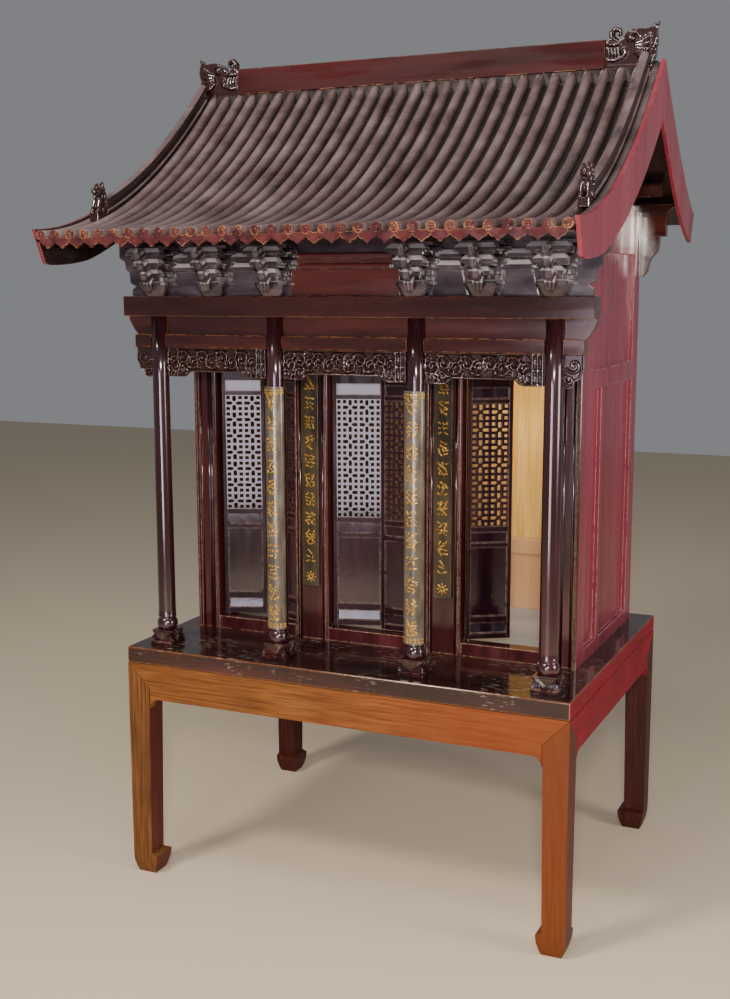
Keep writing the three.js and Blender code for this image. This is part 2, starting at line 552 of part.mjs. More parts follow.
// A leaf from its pivot along +X: a frame with four panels sunk in its front, a lattice and a peg at
// each end.
function leaf(width) {
  const [x0, x1] = [-LEAF.pivot, width - LEAF.pivot];
  const [left, right] = [x0 + LEAF.stile, x1 - LEAF.stile];
  const half = LEAF.thick / 2;
  const panes = [[653, 681], [696, 870], [880, 908], [1232, 1261]];
  const lattice = [921, 1222];
  const frame = prism('y', rectangle(x0, x1, LEAF.low, LEAF.high), [-half, half],
    [...panes, lattice].map(([z0, z1]) => rectangle(left, right, z0, z1)));
  const filled = panes.map(([z0, z1]) => box([left - 1, right + 1], [-LEAF.core / 2, half], [z0 - 1, z1 + 1]));
  const [columns, rows, bar] = [2, 3, 9];
  const cell = [(right - left - bar) / columns, (lattice[1] - lattice[0] - bar) / rows];
  const holes = Array.from({ length: columns * rows }, (_, i) => {
    const x = left + bar + (i % columns) * cell[0];
    const z = lattice[0] + bar + Math.floor(i / columns) * cell[1];
    return rectangle(x, x + cell[0] - bar, z, z + cell[1] - bar);
  });
  const grid = prism('y', rectangle(left - 1, right + 1, lattice[0] - 1, lattice[1] + 1), [-3, 3], holes);
  const peg = new THREE.CylinderGeometry(PEG.radius, PEG.radius, LEAF.high - LEAF.low + 2 * PEG.long, PEG.sides);
  peg.rotateX(Math.PI / 2).translate(0, 0, (LEAF.low + LEAF.high) / 2);
  return join(frame, filled, grid, peg);
}

function addBody() {
  addPair('side_wall', sideWall(), redLacquer);
  add('back_wall', backWall(), rawWood);
  add('ceiling_board', ceiling(), darkLacquer);
  const middlePost = prism('z', postOutline(OPENINGS[1][1], OPENINGS[2][0]), [boardTop, HEAD.low - GAP]);
  addPair('middle_post', solid(middlePost), redLacquer);
  const face = WALL.front + POST.sink - GAP;
  const halfCouplet = COUPLET.width / 2;
  addPair('couplet_board', solid(box([COUPLET.centre - halfCouplet, COUPLET.centre + halfCouplet],
    [face - COUPLET.thick, face], [COUPLET.low, HEAD.low - GAP])), couplet);
  OPENINGS.forEach(([x0, x1], i) => add(`door_sill_${['left', 'middle', 'right'][i]}`,
    socketed(solid(box([x0 + GAP, x1 - GAP], [SILL.front, SILL.back], [boardTop, BOARD.top + SILL.high])), x0, x1,
      BOARD.top + SILL.high), redLacquer));
  const end = OPENINGS[2][1] - GAP;
  add('door_head', socketed(solid(box([-end, end], [WALL.front, WALL.front + POST.deep], [HEAD.low, HEAD.high])),
    -end, end, HEAD.low), darkLacquer);
  add('purlin_lower', lowerPurlin(), darkLacquer);
  add('purlin_upper', upperPurlin(), darkLacquer);
  leaves.forEach(({ name, side, pivot, width, open }) => {
    const hung = new THREE.Group();
    hung.position.set(pivot, LEAF.y, 0);
    hung.rotation.z = side * THREE.MathUtils.degToRad(open);
    const piece = leaf(width);
    add(name, side > 0 ? piece : mirrored(piece), redLacquer, hung);
    cabinet.add(hung);
  });
}

addStand();
addPorch();
addBody();
addBrackets();
addRoof();

export default cabinet;
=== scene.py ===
"""The looks of a household altar cabinet: lacquered wood, gilt strokes and a tiled wooden roof.

Sizes inside the functions are millimetres; meshes are made in metres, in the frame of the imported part.
"""

import json
import math
import random

import bmesh
import bpy
from mathutils import Matrix, Vector


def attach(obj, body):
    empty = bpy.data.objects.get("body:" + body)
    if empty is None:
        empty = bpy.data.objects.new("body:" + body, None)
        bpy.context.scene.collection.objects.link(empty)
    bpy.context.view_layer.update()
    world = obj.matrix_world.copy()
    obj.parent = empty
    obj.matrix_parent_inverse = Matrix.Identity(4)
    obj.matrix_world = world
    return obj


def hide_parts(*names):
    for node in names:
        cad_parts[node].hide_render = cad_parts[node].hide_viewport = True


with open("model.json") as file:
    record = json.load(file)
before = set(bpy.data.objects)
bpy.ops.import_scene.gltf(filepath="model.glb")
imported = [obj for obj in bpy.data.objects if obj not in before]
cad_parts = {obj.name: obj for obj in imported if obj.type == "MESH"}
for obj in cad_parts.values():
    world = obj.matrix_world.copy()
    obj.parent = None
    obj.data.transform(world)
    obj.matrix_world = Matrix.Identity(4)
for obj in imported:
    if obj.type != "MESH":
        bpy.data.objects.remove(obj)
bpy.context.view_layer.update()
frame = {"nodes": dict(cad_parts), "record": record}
# The body of each CAD node, as the record gives it.
BODY_OF = {node: body for body, nodes in frame["record"]["behaviour"]["bodies"].items() for node in nodes}
MM = 0.001
SIDES = ((1, "right"), (-1, "left"))

# ------------------------------------------------------------------ nodes and colours
# Settings that several nodes share.
SMOOTH, COLOURS = {"interpolation_type": "SMOOTHSTEP"}, {"data_type": "RGBA"}
TIMES, PLUS = {"operation": "MULTIPLY"}, {"operation": "ADD"}


def linear(hex_colour):
    """An sRGB hex colour as a linear colour."""
    channels = (int(hex_colour[i:i + 2], 16) / 255 for i in (1, 3, 5))
    return tuple(c / 12.92 if c <= 0.04045 else ((c + 0.055) / 1.055) ** 2.4 for c in channels) + (1.0,)


def add(tree, kind, inputs=(), output=None, stops=(), **settings):
    """Adds a node and gives its output of a name, or else its first one.

    Kinds are shader nodes unless they name another family. Inputs go by name, or in order, and each is a
    socket to link, a value or a hex colour. Stops are the (position, hex colour) pairs of a ramp."""
    node = tree.nodes.new(kind if "Node" in kind else f"ShaderNode{kind}")
    for key, value in settings.items():
        setattr(node, key, value)
    in_use = [socket for socket in node.inputs if socket.enabled]
    for key, value in inputs.items() if isinstance(inputs, dict) else enumerate(inputs):
        socket = node.inputs[key] if isinstance(key, str) else in_use[key]
        if isinstance(value, bpy.types.NodeSocket):
            tree.links.new(value, socket)
        else:
            socket.default_value = linear(value) if isinstance(value, str) else value
    for i, (position, colour) in enumerate(stops):
        elements = node.color_ramp.elements
        element = elements[i] if i < len(elements) else elements.new(position)
        element.position, element.color = position, linear(colour)
    return node.outputs[output] if output else next((one for one in node.outputs if one.enabled), None)


def spots(tree, size, stretch=(1, 1, 1), detail=3.0, rough=0.5):
    """Noise with features of a size in millimetres, stretched by the given factors along X, Y and Z."""
    place = add(tree, "TexCoord", output="Object")
    place = add(tree, "Mapping", {"Vector": place, "Scale": [1 / s for s in stretch]})
    return add(tree, "TexNoise", {
        "Vector": place, "Scale": 1 / (size * MM), "Detail": detail, "Roughness": rough})


def along(tree, axis, low, high):
    """0 before one place on an axis and 1 past another, both in millimetres."""
    place = add(tree, "SeparateXYZ", [add(tree, "TexCoord", output="Object")], axis)
    return add(tree, "MapRange", [place, low * MM, high * MM], **SMOOTH)


def edge_wear(tree, width, strength, patch):
    """How far a point on an edge is rubbed through: 1 on worn edges, 0 on faces, broken up in patches."""
    rounded = add(tree, "Bevel", {"Radius": width * MM}, samples=6)
    flat = add(tree, "NewGeometry", output="Normal")
    facing = add(tree, "VectorMath", [rounded, flat], operation="DOT_PRODUCT")
    edge = add(tree, "MapRange", [facing, 0.995, 0.88], **SMOOTH)
    rub = spots(tree, patch, detail=4, rough=0.65)
    rub = add(tree, "MapRange", [rub, 0.62 - 0.3 * strength, 0.72 - 0.3 * strength], **SMOOTH)
    return add(tree, "Math", [edge, rub], **TIMES)


def blank(name):
    """A new material and its emptied node tree."""
    material = bpy.data.materials.new(name)
    material.use_nodes = True
    material.node_tree.nodes.clear()
    return material, material.node_tree


def shade(tree, height, strength, depth, looks):
    """Ends a tree in a surface of some looks, over a bump with a strength and a depth in millimetres."""
    bump = add(tree, "Bump", {"Height": height, "Strength": strength, "Distance": depth * MM})
    add(tree, "OutputMaterial", [add(tree, "BsdfPrincipled", {**looks, "Normal": bump})])


# Where the platform lies inside the room: from nothing to all of it, along an axis.
ROOM_EDGES = (("Y", -60, -50), ("Y", 456, 450), ("X", 505, 495), ("X", -505, -495))


def lacquer(name, coats, worn, grain, gloss=0.22, wear=0.5, wear_width=2.2, coat=0.35, patina=90, brush=0.35,
            patch=30, scratch=0.0, scratch_colour="#b7a59a", lit_dusty_tops=None, bare=None, shine=0.5):
    """Brushed lacquer on wood: a clear gloss over coats that vary in patches, rubbed through at the edges.

    grain stretches the brush strokes along the piece, and scratch adds fine scratches. lit_dusty_tops is the
    colour of faces that look upwards: pale dust, and a painted highlight of the light from above. bare is
    that of what lies inside the room, which was never lacquered."""
    material, tree = blank(name)
    # Three coats in patches, the lowest one again in the brush strokes, and bare wood where it is rubbed.
    cloud = spots(tree, patina, grain, detail=5, rough=0.6)
    colour = add(tree, "ValToRGB", [cloud], stops=zip((0.30, 0.50, 0.72), coats))
    strokes = spots(tree, 3.5, tuple(3 * g if g > 1 else 1 for g in grain), detail=2)
    streaks = add(tree, "MapRange", [strokes, 0.52, 0.75, 0, brush], **SMOOTH)
    colour = add(tree, "Mix", [streaks, colour, coats[0]], **COLOURS)
    rubbed = edge_wear(tree, wear_width, wear, patch)
    under = add(tree, "ValToRGB", [spots(tree, 9)], stops=zip((0.35, 0.65), worn))
    colour = add(tree, "Mix", [rubbed, colour, under], **COLOURS)
    # Painted highlight and dust: faces that look upwards are lightened, as the light from above falls on
    # them.
    if lit_dusty_tops:
        upward = add(tree, "SeparateXYZ", [add(tree, "NewGeometry", output="True Normal")], "Z")
        upward = add(tree, "MapRange", [upward, 0.25, 0.7], **SMOOTH)
        dust_and_highlight = add(tree, "MapRange", [cloud, 0.3, 0.6, 0.6, 1.0], **SMOOTH)
        colour = add(tree, "Mix", [add(tree, "Math", [upward, dust_and_highlight], **TIMES), colour, lit_dusty_tops], **COLOURS)
    roughness = spots(tree, 24, grain, detail=1)
    roughness = add(tree, "MapRange", [roughness, 0.35, 0.7, gloss * 0.8, gloss * 1.5], **SMOOTH)
    if scratch:
        lines = spots(tree, 2, tuple(12 if g > 1 else 1 for g in grain), detail=1)
        lines = add(tree, "MapRange", [lines, 0.64, 0.70, 0, scratch], **SMOOTH)
        areas = add(tree, "MapRange", [spots(tree, 110), 0.48, 0.58], **SMOOTH)
        scratched = add(tree, "Math", [lines, areas], **TIMES)
        colour = add(tree, "Mix", [scratched, colour, scratch_colour], **COLOURS)
    if bare:
        room = 1.0
        for edge in ROOM_EDGES:
            room = add(tree, "Math", [room, along(tree, *edge)], **TIMES)
        unfinished = add(tree, "Mix", [cloud, bare, "#8a8e98"], **COLOURS)
        colour = add(tree, "Mix", [room, colour, unfinished], **COLOURS)
        roughness = add(tree, "Math", [roughness, add(tree, "Math", [room, 0.5], **TIMES)], **PLUS)
        shine = add(tree, "MapRange", [room, 0, 1, shine, 0.1], **SMOOTH)
    # Rubbed edges are duller, and the surface rises and falls with the brush strokes and the wood under them.
    roughness = add(tree, "Math", [roughness, add(tree, "Math", [rubbed, 0.3], **TIMES)], **PLUS)
    ridges = add(tree, "Math", [strokes, brush * 3], **TIMES)
    height = add(tree, "Math", [ridges, add(tree, "Math", [spots(tree, 14), 2.0], **TIMES)], **PLUS)
    shade(tree, height, 0.12, 0.4, {
        "Base Color": colour, "Roughness": roughness, "Coat Weight": coat, "Coat Roughness": 0.12, "IOR": 1.5,
        "Specular IOR Level": shine})
    return material


def bare_wood(name, tones, grain, ring, gloss=0.45, stains_and_shade=()):
    """Stained or raw wood: long grain streaks with finer pores, and a low sheen.

    Each tint grows from one place to another along an axis, to a colour and a strength; tints stand for
    stains, and for painted shade."""
    material, tree = blank(name)
    figure = spots(tree, ring, grain, detail=4, rough=0.6)
    colour = add(tree, "ValToRGB", [figure], stops=zip((0.32, 0.5, 0.7), tones))
    pores = spots(tree, 1.8, tuple(3 * g if g > 1 else 1 for g in grain), detail=2)
    for marks, low, high, strength in ((pores, 0.55, 0.72, 0.4), (spots(tree, 160), 0.35, 0.7, 0.45)):
        dark = add(tree, "MapRange", [marks, low, high, 0, strength], **SMOOTH)
        colour = add(tree, "Mix", [dark, colour, tones[0]], **COLOURS)
    # Tints: real stains, and painted shade darkening wood that lies out of the light.
    for axis, low, high, tint, strength in stains_and_shade:
        tinted = add(tree, "Math", [along(tree, axis, low, high), strength], **TIMES)
        colour = add(tree, "Mix", [tinted, colour, tint], **COLOURS)
    shade(tree, pores, 0.15, 0.3, {
        "Base Color": colour, "IOR": 1.5, "Specular IOR Level": 0.22,
        "Roughness": add(tree, "MapRange", [figure, 0.3, 0.7, gloss * 0.85, gloss * 1.15], **SMOOTH)})
    return material


def gilding(name, golds, shows_through):
    """Leaf gold over lacquer: a soft metal sheen, thin in places where the ground shows through."""
    material, tree = blank(name)
    gold = add(tree, "ValToRGB", [spots(tree, 6, detail=4)], stops=zip((0.35, 0.55, 0.75), golds))
    gone = add(tree, "MapRange", [spots(tree, 11, detail=4, rough=0.7), 0.56, 0.66], **SMOOTH)
    shade(tree, spots(tree, 2.5), 0.25, 0.3, {
        "Base Color": add(tree, "Mix", [gone, gold, shows_through], **COLOURS),
        "Metallic": add(tree, "MapRange", [gone, 0, 1, 0.6, 0.1], **SMOOTH),
        "Roughness": add(tree, "MapRange", [spots(tree, 5), 0.3, 0.7, 0.28, 0.5], **SMOOTH)})
    return material


def relief_lacquer(name, hollow_shade, face, crests):
    """Lacquer over deep carving: painted shade makes the hollows dark, and they are dull; what stands out is
    glossy and rubbed.
    """
    material, tree = blank(name)
    relief = add(tree, "NewGeometry", output="Pointiness")
    depth = add(tree, "MapRange", [relief, 0.44, 0.53], **SMOOTH)
    # Painted shade: the hollows are darkened by pointiness.
    colour = add(tree, "ValToRGB", [depth], stops=((0.15, hollow_shade), (0.55, face)))
    patch = add(tree, "MapRange", [spots(tree, 16, detail=4, rough=0.6), 0.42, 0.6], **SMOOTH)
    worn = add(tree, "Math", [add(tree, "MapRange", [relief, 0.52, 0.58], **SMOOTH), patch], **TIMES)
    crest = add(tree, "ValToRGB", [spots(tree, 22)], stops=zip((0.4, 0.6), crests))
    shade(tree, spots(tree, 5, detail=4), 0.2, 0.5, {
        "Base Color": add(tree, "Mix", [worn, colour, crest], **COLOURS),
        "Roughness": add(tree, "MapRange", [depth, 0, 1, 0.5, 0.14], **SMOOTH),
        "Specular IOR Level": add(tree, "MapRange", [depth, 0, 1, 0.1, 0.6], **SMOOTH),
        "Coat Weight": add(tree, "MapRange", [depth, 0.3, 1, 0, 0.8], **SMOOTH),
        "Coat Roughness": 0.08, "IOR": 1.5})
    return material


# Brown-black lacquer of the porch: a deep gloss, rubbed back to orange-brown along its arrises.
PORCH_LACQUER = lacquer(
    "brown_black_lacquer", ("#1e0c0a", "#381917", "#522620"), ("#8a4a20", "#c08038"), gloss=0.15,
    grain=(7, 1, 1), wear=0.6)
# The same lacquer on upright pieces, with its brush strokes running up them.
UPRIGHT_LACQUER = lacquer(
    "red_black_column_lacquer", ("#14060a", "#2a1015", "#401b22"), ("#8a4c24", "#c08a50"), gloss=0.17,
    grain=(1, 1, 9), wear=0.6, coat=0.8)
# Crimson-brown lacquer of the walls and barge boards.
CRIMSON_LACQUER = lacquer(
    "crimson_brown_lacquer", ("#561822", "#7c2835", "#903846"), ("#a0603c", "#d0a888"), gloss=0.26,
    grain=(1, 1, 12), patina=260, wear=0.35, coat=0.1, brush=0.12)
# The walls have the same lacquer, with the arrises of their frames rubbed pale.
WALL_LACQUER = lacquer(
    "crimson_wall_lacquer", ("#4e1622", "#762637", "#8a3648"), ("#b0705c", "#ecd4c8"), gloss=0.26,
    grain=(1, 1, 12), patina=260, wear=0.85, wear_width=2.6, coat=0.1, brush=0.12)
# Ridge beam: a darker red-brown than the walls.
RIDGE_LACQUER = lacquer(
    "red_brown_ridge_lacquer", ("#1c0606", "#360c0e", "#481416"), ("#8a5a3a", "#c49a72"), gloss=0.36,
    grain=(9, 1, 1), coat=0.0, shine=0.2)
# Posts: red-black lacquer, the beads down their edges rubbed to orange-brown and tan.
POST_LACQUER = lacquer(
    "rubbed_post_lacquer", ("#1c090a", "#3a1618", "#562628"), ("#9c6236", "#ecd4b4"), gloss=0.15,
    grain=(1, 1, 9), patina=70, wear=0.95, wear_width=3.4, coat=0.25)
# Purple-brown lacquer of the leaves, with a bluish bloom.
LEAF_LACQUER = lacquer(
    "purple_brown_lacquer", ("#17070e", "#26101a", "#371a24"), ("#6c5048", "#b09488"), gloss=0.07,
    grain=(1, 1, 5), patina=110, wear=0.9, wear_width=1.2, shine=0.42)
# Their stiles and rails have dulled.
LEAF_FRAME_LACQUER = lacquer(
    "dulled_leaf_frame_lacquer", ("#16080b", "#251014", "#351a1e"), ("#6c5048", "#b09488"), gloss=0.34,
    grain=(1, 1, 5), patina=110, wear=0.9, wear_width=1.2, coat=0.0, shine=0.15)
# Dulled lacquer on the wooden tiles, worn to orange-brown in spots.
TILE_LACQUER = lacquer(
    "dulled_tile_lacquer", ("#3f3030", "#605050", "#7a6a6a"), ("#7a4526", "#a9663a"), gloss=0.2,
    grain=(1, 12, 1), patina=60, wear=0.4, scratch=0.75, scratch_colour="#8c4a2c")
# Dark lacquer, used as painted shade: in the pans between the ribs, on the inner faces of the barge boards,
# the sides of the descending ridges, the undersides of the back roof and the gable.
DARK_PAN_AND_SHADE_LACQUER = lacquer(
    "dark_pan_and_painted_shade_lacquer", ("#120a0a", "#1e1211", "#2e1d1b"), ("#5a3420", "#7a4a2a"), gloss=0.3,
    grain=(1, 6, 1), patina=40)
# Tile ends rubbed through to orange-brown wood.
TILE_END_WOOD = lacquer(
    "rubbed_tile_ends", ("#220e10", "#4a2022", "#5e302c"), ("#8e5224", "#e2ac6c"), gloss=0.2,
    grain=(1, 1, 1), patina=30, wear=0.56, wear_width=1.6, patch=40)
# The platform: dark gloss with pale scratches, its front arris rubbed orange.
PLATFORM_LACQUER = lacquer(
    "scratched_platform_lacquer", ("#120808", "#2a1614", "#4a2622"), ("#a85a22", "#d89a54"), gloss=0.11,
    grain=(7, 1, 1), wear=1.3, wear_width=6, patina=120, scratch=0.6, coat=0.0, bare="#ced4de")
# Honey-brown stained wood of the stand.
HONEY_WOOD = bare_wood(
    "honey_stained_wood", ("#522e14", "#78481e", "#90602e"), gloss=0.5, ring=6, grain=(26, 1, 1),
    stains_and_shade=(("X", -200, 450, "#7c340f", 0.6),))
HONEY_WOOD_UPRIGHT = bare_wood(
    "honey_stained_wood_upright", ("#462812", "#643e1c", "#7a502a"), gloss=0.5, ring=6, grain=(1, 1, 26),
    stains_and_shade=(("X", -200, 450, "#6c300f", 0.7),))
# The stand's sides are stained red-brown.
STAND_SIDE_WOOD = bare_wood(
    "red_stained_wood", ("#580a18", "#7e1024", "#921a2e"), gloss=0.6, ring=6, grain=(1, 26, 1))
STAND_SIDE_UPRIGHT = bare_wood(
    "red_stained_wood_upright", ("#3a1612", "#52201a", "#622c22"), ring=6, grain=(1, 1, 26))
# The back legs have darkened.
DARK_LEG_WOOD = bare_wood(
    "darkened_leg_wood", ("#260d08", "#3e1710", "#4e2016"), gloss=0.5, ring=6, grain=(1, 1, 26))
# Unlacquered pale wood inside the room: browner below its rail, and darkened toward the left with painted
# shade.
RAW_WOOD = bare_wood(
    "raw_pale_wood", ("#dca850", "#efc674", "#f8da94"), gloss=0.7, grain=(1, 1, 30), ring=9,
    stains_and_shade=(("Z", 812, 802, "#d0a286", 0.75), ("X", 150, -10, "#1c110a", 0.93)))
# The outside of the back wall was never lacquered either, and has browned evenly.
BACK_WOOD = bare_wood(
    "browned_back_board", ("#4a2c16", "#68442a", "#80603e"), gloss=0.7, grain=(1, 1, 30), ring=9)
# Deep carving in the frets, dragon heads and beasts: hollows darkened to brown-black as painted shade, and
# glinting brown crests.
RELIEF_LACQUER = relief_lacquer("lacquer_over_deep_carving", "#050101", "#2a1110", ("#4c2418", "#94664a"))
# Pedestals: red-brown lacquer rubbed to gold-brown along the folds of the cloths.
PEDESTAL_LACQUER = lacquer(
    "pedestal_lacquer", ("#140808", "#2a1010", "#421c1a"), ("#8a6a50", "#dcc8ac"), gloss=0.14,
    grain=(1, 1, 1), patina=36, wear=0.4, wear_width=0.7)
# Strokes and bands in gold leaf, warm, and dulled where it is thin.
WORN_GILT = gilding("worn_gold_leaf", ("#8a6220", "#c8983c", "#f0d480"), "#5e4c2a")
# Sleeve ground: lacquer under a tarnished silver leaf, grey-green and softly bright.
SLEEVE_GROUND = lacquer(
    "tarnished_silver_ground", ("#302a20", "#544c40", "#746c60"), ("#7a6a4a", "#d0c4a8"), gloss=0.26,
    grain=(1, 1, 3), patina=30, wear=0.7, coat=0.5)
# Board ground: green-black lacquer, faintly mottled.
BOARD_GROUND = lacquer(
    "olive_black_lacquer", ("#1c1811", "#382f22", "#524532"), ("#6b4a2c", "#9a7a48"), grain=(1, 1, 4),
    patina=44)
# Brackets: grey-purple lacquer; their bevelled upper faces are rubbed and dusty, and lightened with a painted
# highlight of the light from above.
BRACKET_LACQUER = lacquer(
    "rubbed_bracket_lacquer", ("#1a1215", "#382b32", "#564850"), ("#7a6458", "#b8a494"), grain=(3, 1, 1),
    patina=40, wear=0.35, wear_width=1.4, lit_dusty_tops="#c4bcbc")
# The red-brown field in the middle of the backing.
CENTRE_LACQUER = lacquer(
    "red_brown_field_lacquer", ("#2c100e", "#451a17", "#5a2723"), ("#8a5a3a", "#b98a5c"), gloss=0.24,
    grain=(7, 1, 1), patina=60)


# ------------------------------------------------------------------ shapes, in millimetres
CURL_STEPS = 16


def polar(radius, degrees):
    """A point at a distance from the origin, at an angle."""
    return radius * math.cos(math.radians(degrees)), radius * math.sin(math.radians(degrees))


def steps_to(a, b, count):
    return [a + (b - a) * i / count for i in range(count + 1)]


def loft(form, rings):
    """Skins rings of points that all have the same number of corners, and closes both ends."""
    rows = [[form.verts.new(point) for point in ring] for ring in rings]
    for low, high in zip(rows, rows[1:]):
        for i, corner in enumerate(low):
            j = (i + 1) % len(low)
            form.faces.new((corner, low[j], high[j], high[i]))
    form.faces.new(rows[0][::-1])
    form.faces.new(rows[-1])


def rectangle(x, y, z):
    """The corners of a level rectangle between pairs of X and Y."""
    return [(x[0], y[0], z), (x[1], y[0], z), (x[1], y[1], z), (x[0], y[1], z)]


def block(form, x, y, z):
    """A box between pairs of X, Y and Z."""
    loft(form, [rectangle(x, y, height) for height in z])


def hipped(form, x, y, z, inset, rise):
    """A block whose top is bevelled in front and at both ends."""
    rings = ((0, z[0]), (0, z[1] - rise), (inset, z[1]))
    loft(form, [rectangle((x[0] + i, x[1] - i), (y[0] + i, y[1]), height) for i, height in rings])


def plate(form, outline, front, back):
    """An outline in X and Z, from its front Y to its back Y."""
    loft(form, [[(x, y, z) for x, z in outline] for y in (front, back)])


def lathe(form, profile, sides, centre=(0, 0, 0), axis="Z"):
    """Turns a profile of (radius, height) about an upright axis, or about Y with the height running back."""
    rings = []
    for radius, height in profile:
        ring = []
        for i in range(sides):
            angle = math.tau * i / sides
            across, up = radius * math.cos(angle), radius * math.sin(angle)
            point = (across, up, height) if axis == "Z" else (across, height, up)
            ring.append(tuple(c + p for c, p in zip(centre, point)))
        rings.append(ring)
    loft(form, rings)


def shade_round(form):
    """Shades the sides of turned forms round, and leaves their ends flat."""
    for face in form.faces:
        face.smooth = len(face.verts) == 4


def tube(form, path, radii, sides=8, flat=(1, 1, 1)):
    """A round rod along a path with a radius at each point, flattened by a factor along each axis."""
    points = [Vector(point) for point in path]
    normal = Vector((0.3, 1, 0.2)).normalized()
    rings = []
    for i, point in enumerate(points):
        ahead = (points[min(i + 1, len(points) - 1)] - points[max(i - 1, 0)]).normalized()
        side = ahead.cross(normal).normalized()
        normal = side.cross(ahead).normalized()
        ring = []
        for k in range(sides):
            angle = math.tau * k / sides
            offset = (side * math.cos(angle) + normal * math.sin(angle)) * radii[i]
            ring.append(point + Vector(o * f for o, f in zip(offset, flat)))
        rings.append(ring)
    loft(form, rings)


def curl(form, centre, radii, start, sweep, front, lift, thick, side=1):
    """A rod in a spiral about a centre in X and Z, through a sweep in degrees from a start angle.

    Its radius goes from one to another, as its thickness does, and its end is lifted forward of its start."""
    path = []
    for t in steps_to(0, 1, CURL_STEPS):
        across, up = polar(radii[0] + (radii[1] - radii[0]) * t, start + sweep * t)
        path.append((side * (centre[0] + across), front - lift * t, centre[1] + up))
    tube(form, path, steps_to(*thick, CURL_STEPS), 7, (1, 1.25, 1))


def egg(form, centre, radii, detail=2):
    """An ellipsoid."""
    place = Matrix.Translation(centre) @ Matrix.Diagonal((*radii, 1))
    bmesh.ops.create_icosphere(form, subdivisions=detail, radius=1, matrix=place)


# ------------------------------------------------------------------ making pieces
def put(name, data):
    """An object with its data, linked to the scene."""
    made = bpy.data.objects.new(name, data)
    bpy.context.scene.collection.objects.link(made)
    return made


def put_form(name, form):
    """An object made of a form, which is used up."""
    mesh = bpy.data.meshes.new(name)
    form.to_mesh(mesh)
    form.free()
    return put(name, mesh)


def put_in_metres(name, form):
    """An object made of a form in millimetres, with its corners joined and its faces turned outwards."""
    bmesh.ops.remove_doubles(form, verts=form.verts, dist=0.01)
    bmesh.ops.scale(form, vec=(MM, MM, MM), verts=form.verts)
    bmesh.ops.recalc_face_normals(form, faces=form.faces)
    return put_form(name, form)


def bake(piece):
    """Makes a piece's modifiers its mesh."""
    mesh = bpy.data.meshes.new_from_object(piece.evaluated_get(bpy.context.evaluated_depsgraph_get()))
    piece.modifiers.clear()
    piece.data = mesh


def settle(piece, finishes, node, bevel=0.0):
    """Gives a piece its finishes and its bevel, and fixes it to its body in place of its CAD node."""
    for finish in finishes:
        piece.data.materials.append(finish)
    if bevel:
        soften = piece.modifiers.new("arris", "BEVEL")
        soften.width = bevel * MM
        soften.segments = 2
        soften.limit_method = "ANGLE"
        soften.angle_limit = math.radians(32)
        soften.harden_normals = False
    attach(piece, BODY_OF[node])
    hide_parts(node)
    return piece


def wrap_up(form, name, *finishes, node=None, bevel=0.0):
    """Turns a form in millimetres into a piece, for the CAD node that its name has before its last word."""
    return settle(put_in_metres(name, form), finishes, node or name.rsplit("_", 1)[0], bevel)


def fuse(piece, grain):
    """Melts overlapping lumps into one carved skin, with a grain in millimetres."""
    melt = piece.modifiers.new("fused", "REMESH")
    melt.mode = "VOXEL"
    melt.voxel_size = grain * MM
    melt.use_smooth_shade = True
    ease = piece.modifiers.new("eased", "SMOOTH")
    ease.factor = 0.5
    ease.iterations = 2
    bake(piece)


def in_row(name, form, finish, count, node, pitch):
    """Repeats one item along X with a node tree: the row is centred on X = 0."""
    tree = bpy.data.node_groups.new(f"{name}_row", "GeometryNodeTree")
    tree.interface.new_socket("Item", in_out="INPUT", socket_type="NodeSocketGeometry")
    tree.interface.new_socket("Row", in_out="OUTPUT", socket_type="NodeSocketGeometry")
    piece = put_in_metres(name, form)
    repeat = piece.modifiers.new("row", "NODES")
    numbers = {}
    for label, kind, value in (("Count", "NodeSocketInt", count), ("Pitch", "NodeSocketFloat", pitch * MM)):
        numbers[tree.interface.new_socket(label, in_out="INPUT", socket_type=kind).identifier] = value
    item, many, gap = (add(tree, "NodeGroupInput", output=label) for label in ("Item", "Count", "Pitch"))
    length = add(tree, "Math", [add(tree, "Math", [many, 1.0], operation="SUBTRACT"), gap], **TIMES)
    first = add(tree, "CombineXYZ", {"X": add(tree, "Math", [length, -0.5], **TIMES)})
    line = add(tree, "GeometryNodeMeshLine", {
        "Count": many, "Start Location": first, "Offset": add(tree, "CombineXYZ", {"X": gap})}, mode="OFFSET")
    items = add(tree, "GeometryNodeInstanceOnPoints", {"Points": line, "Instance": item})
    add(tree, "NodeGroupOutput", [add(tree, "GeometryNodeRealizeInstances", [items])])
    repeat.node_group = tree
    for identifier, value in numbers.items():
        repeat[identifier] = value
    bake(piece)
    # The node tree leaves an empty material slot on the mesh.
    piece.data.materials.clear()
    settle(piece, [finish], node)


# ------------------------------------------------------------------ roof
APEX_Y, APEX_Z = 151, 2022
# Each eave: its Y, its height, and how strongly its slope sags.
FRONT_EAVE, BACK_EAVE = (-572, 1630, 1.8), (572, 1690, 1.3)
EAVE_Y = FRONT_EAVE[0]
RIB_PITCH, RIB_COUNT, RIB_RADIUS = 39.5, 32, 12
# Levels are measured square to a slope from the top edge of its barge boards.
DECK_LOW, DECK_RIM, PAN_RIM, PAN_SAG, PAN_HALF = -30, -15, -22, 4, 9
BARGE_INNER, BARGE_OUTER, BARGE_DEPTH, BARGE_FLARE, BARGE_CUT = 624.5, 634.2, 77, 21, 34
RIDGE_X, RIDGE_FOOT_Y, RIDGE_TOP_Y = 592.5, -350, 118
DRAGON_X = 494.6


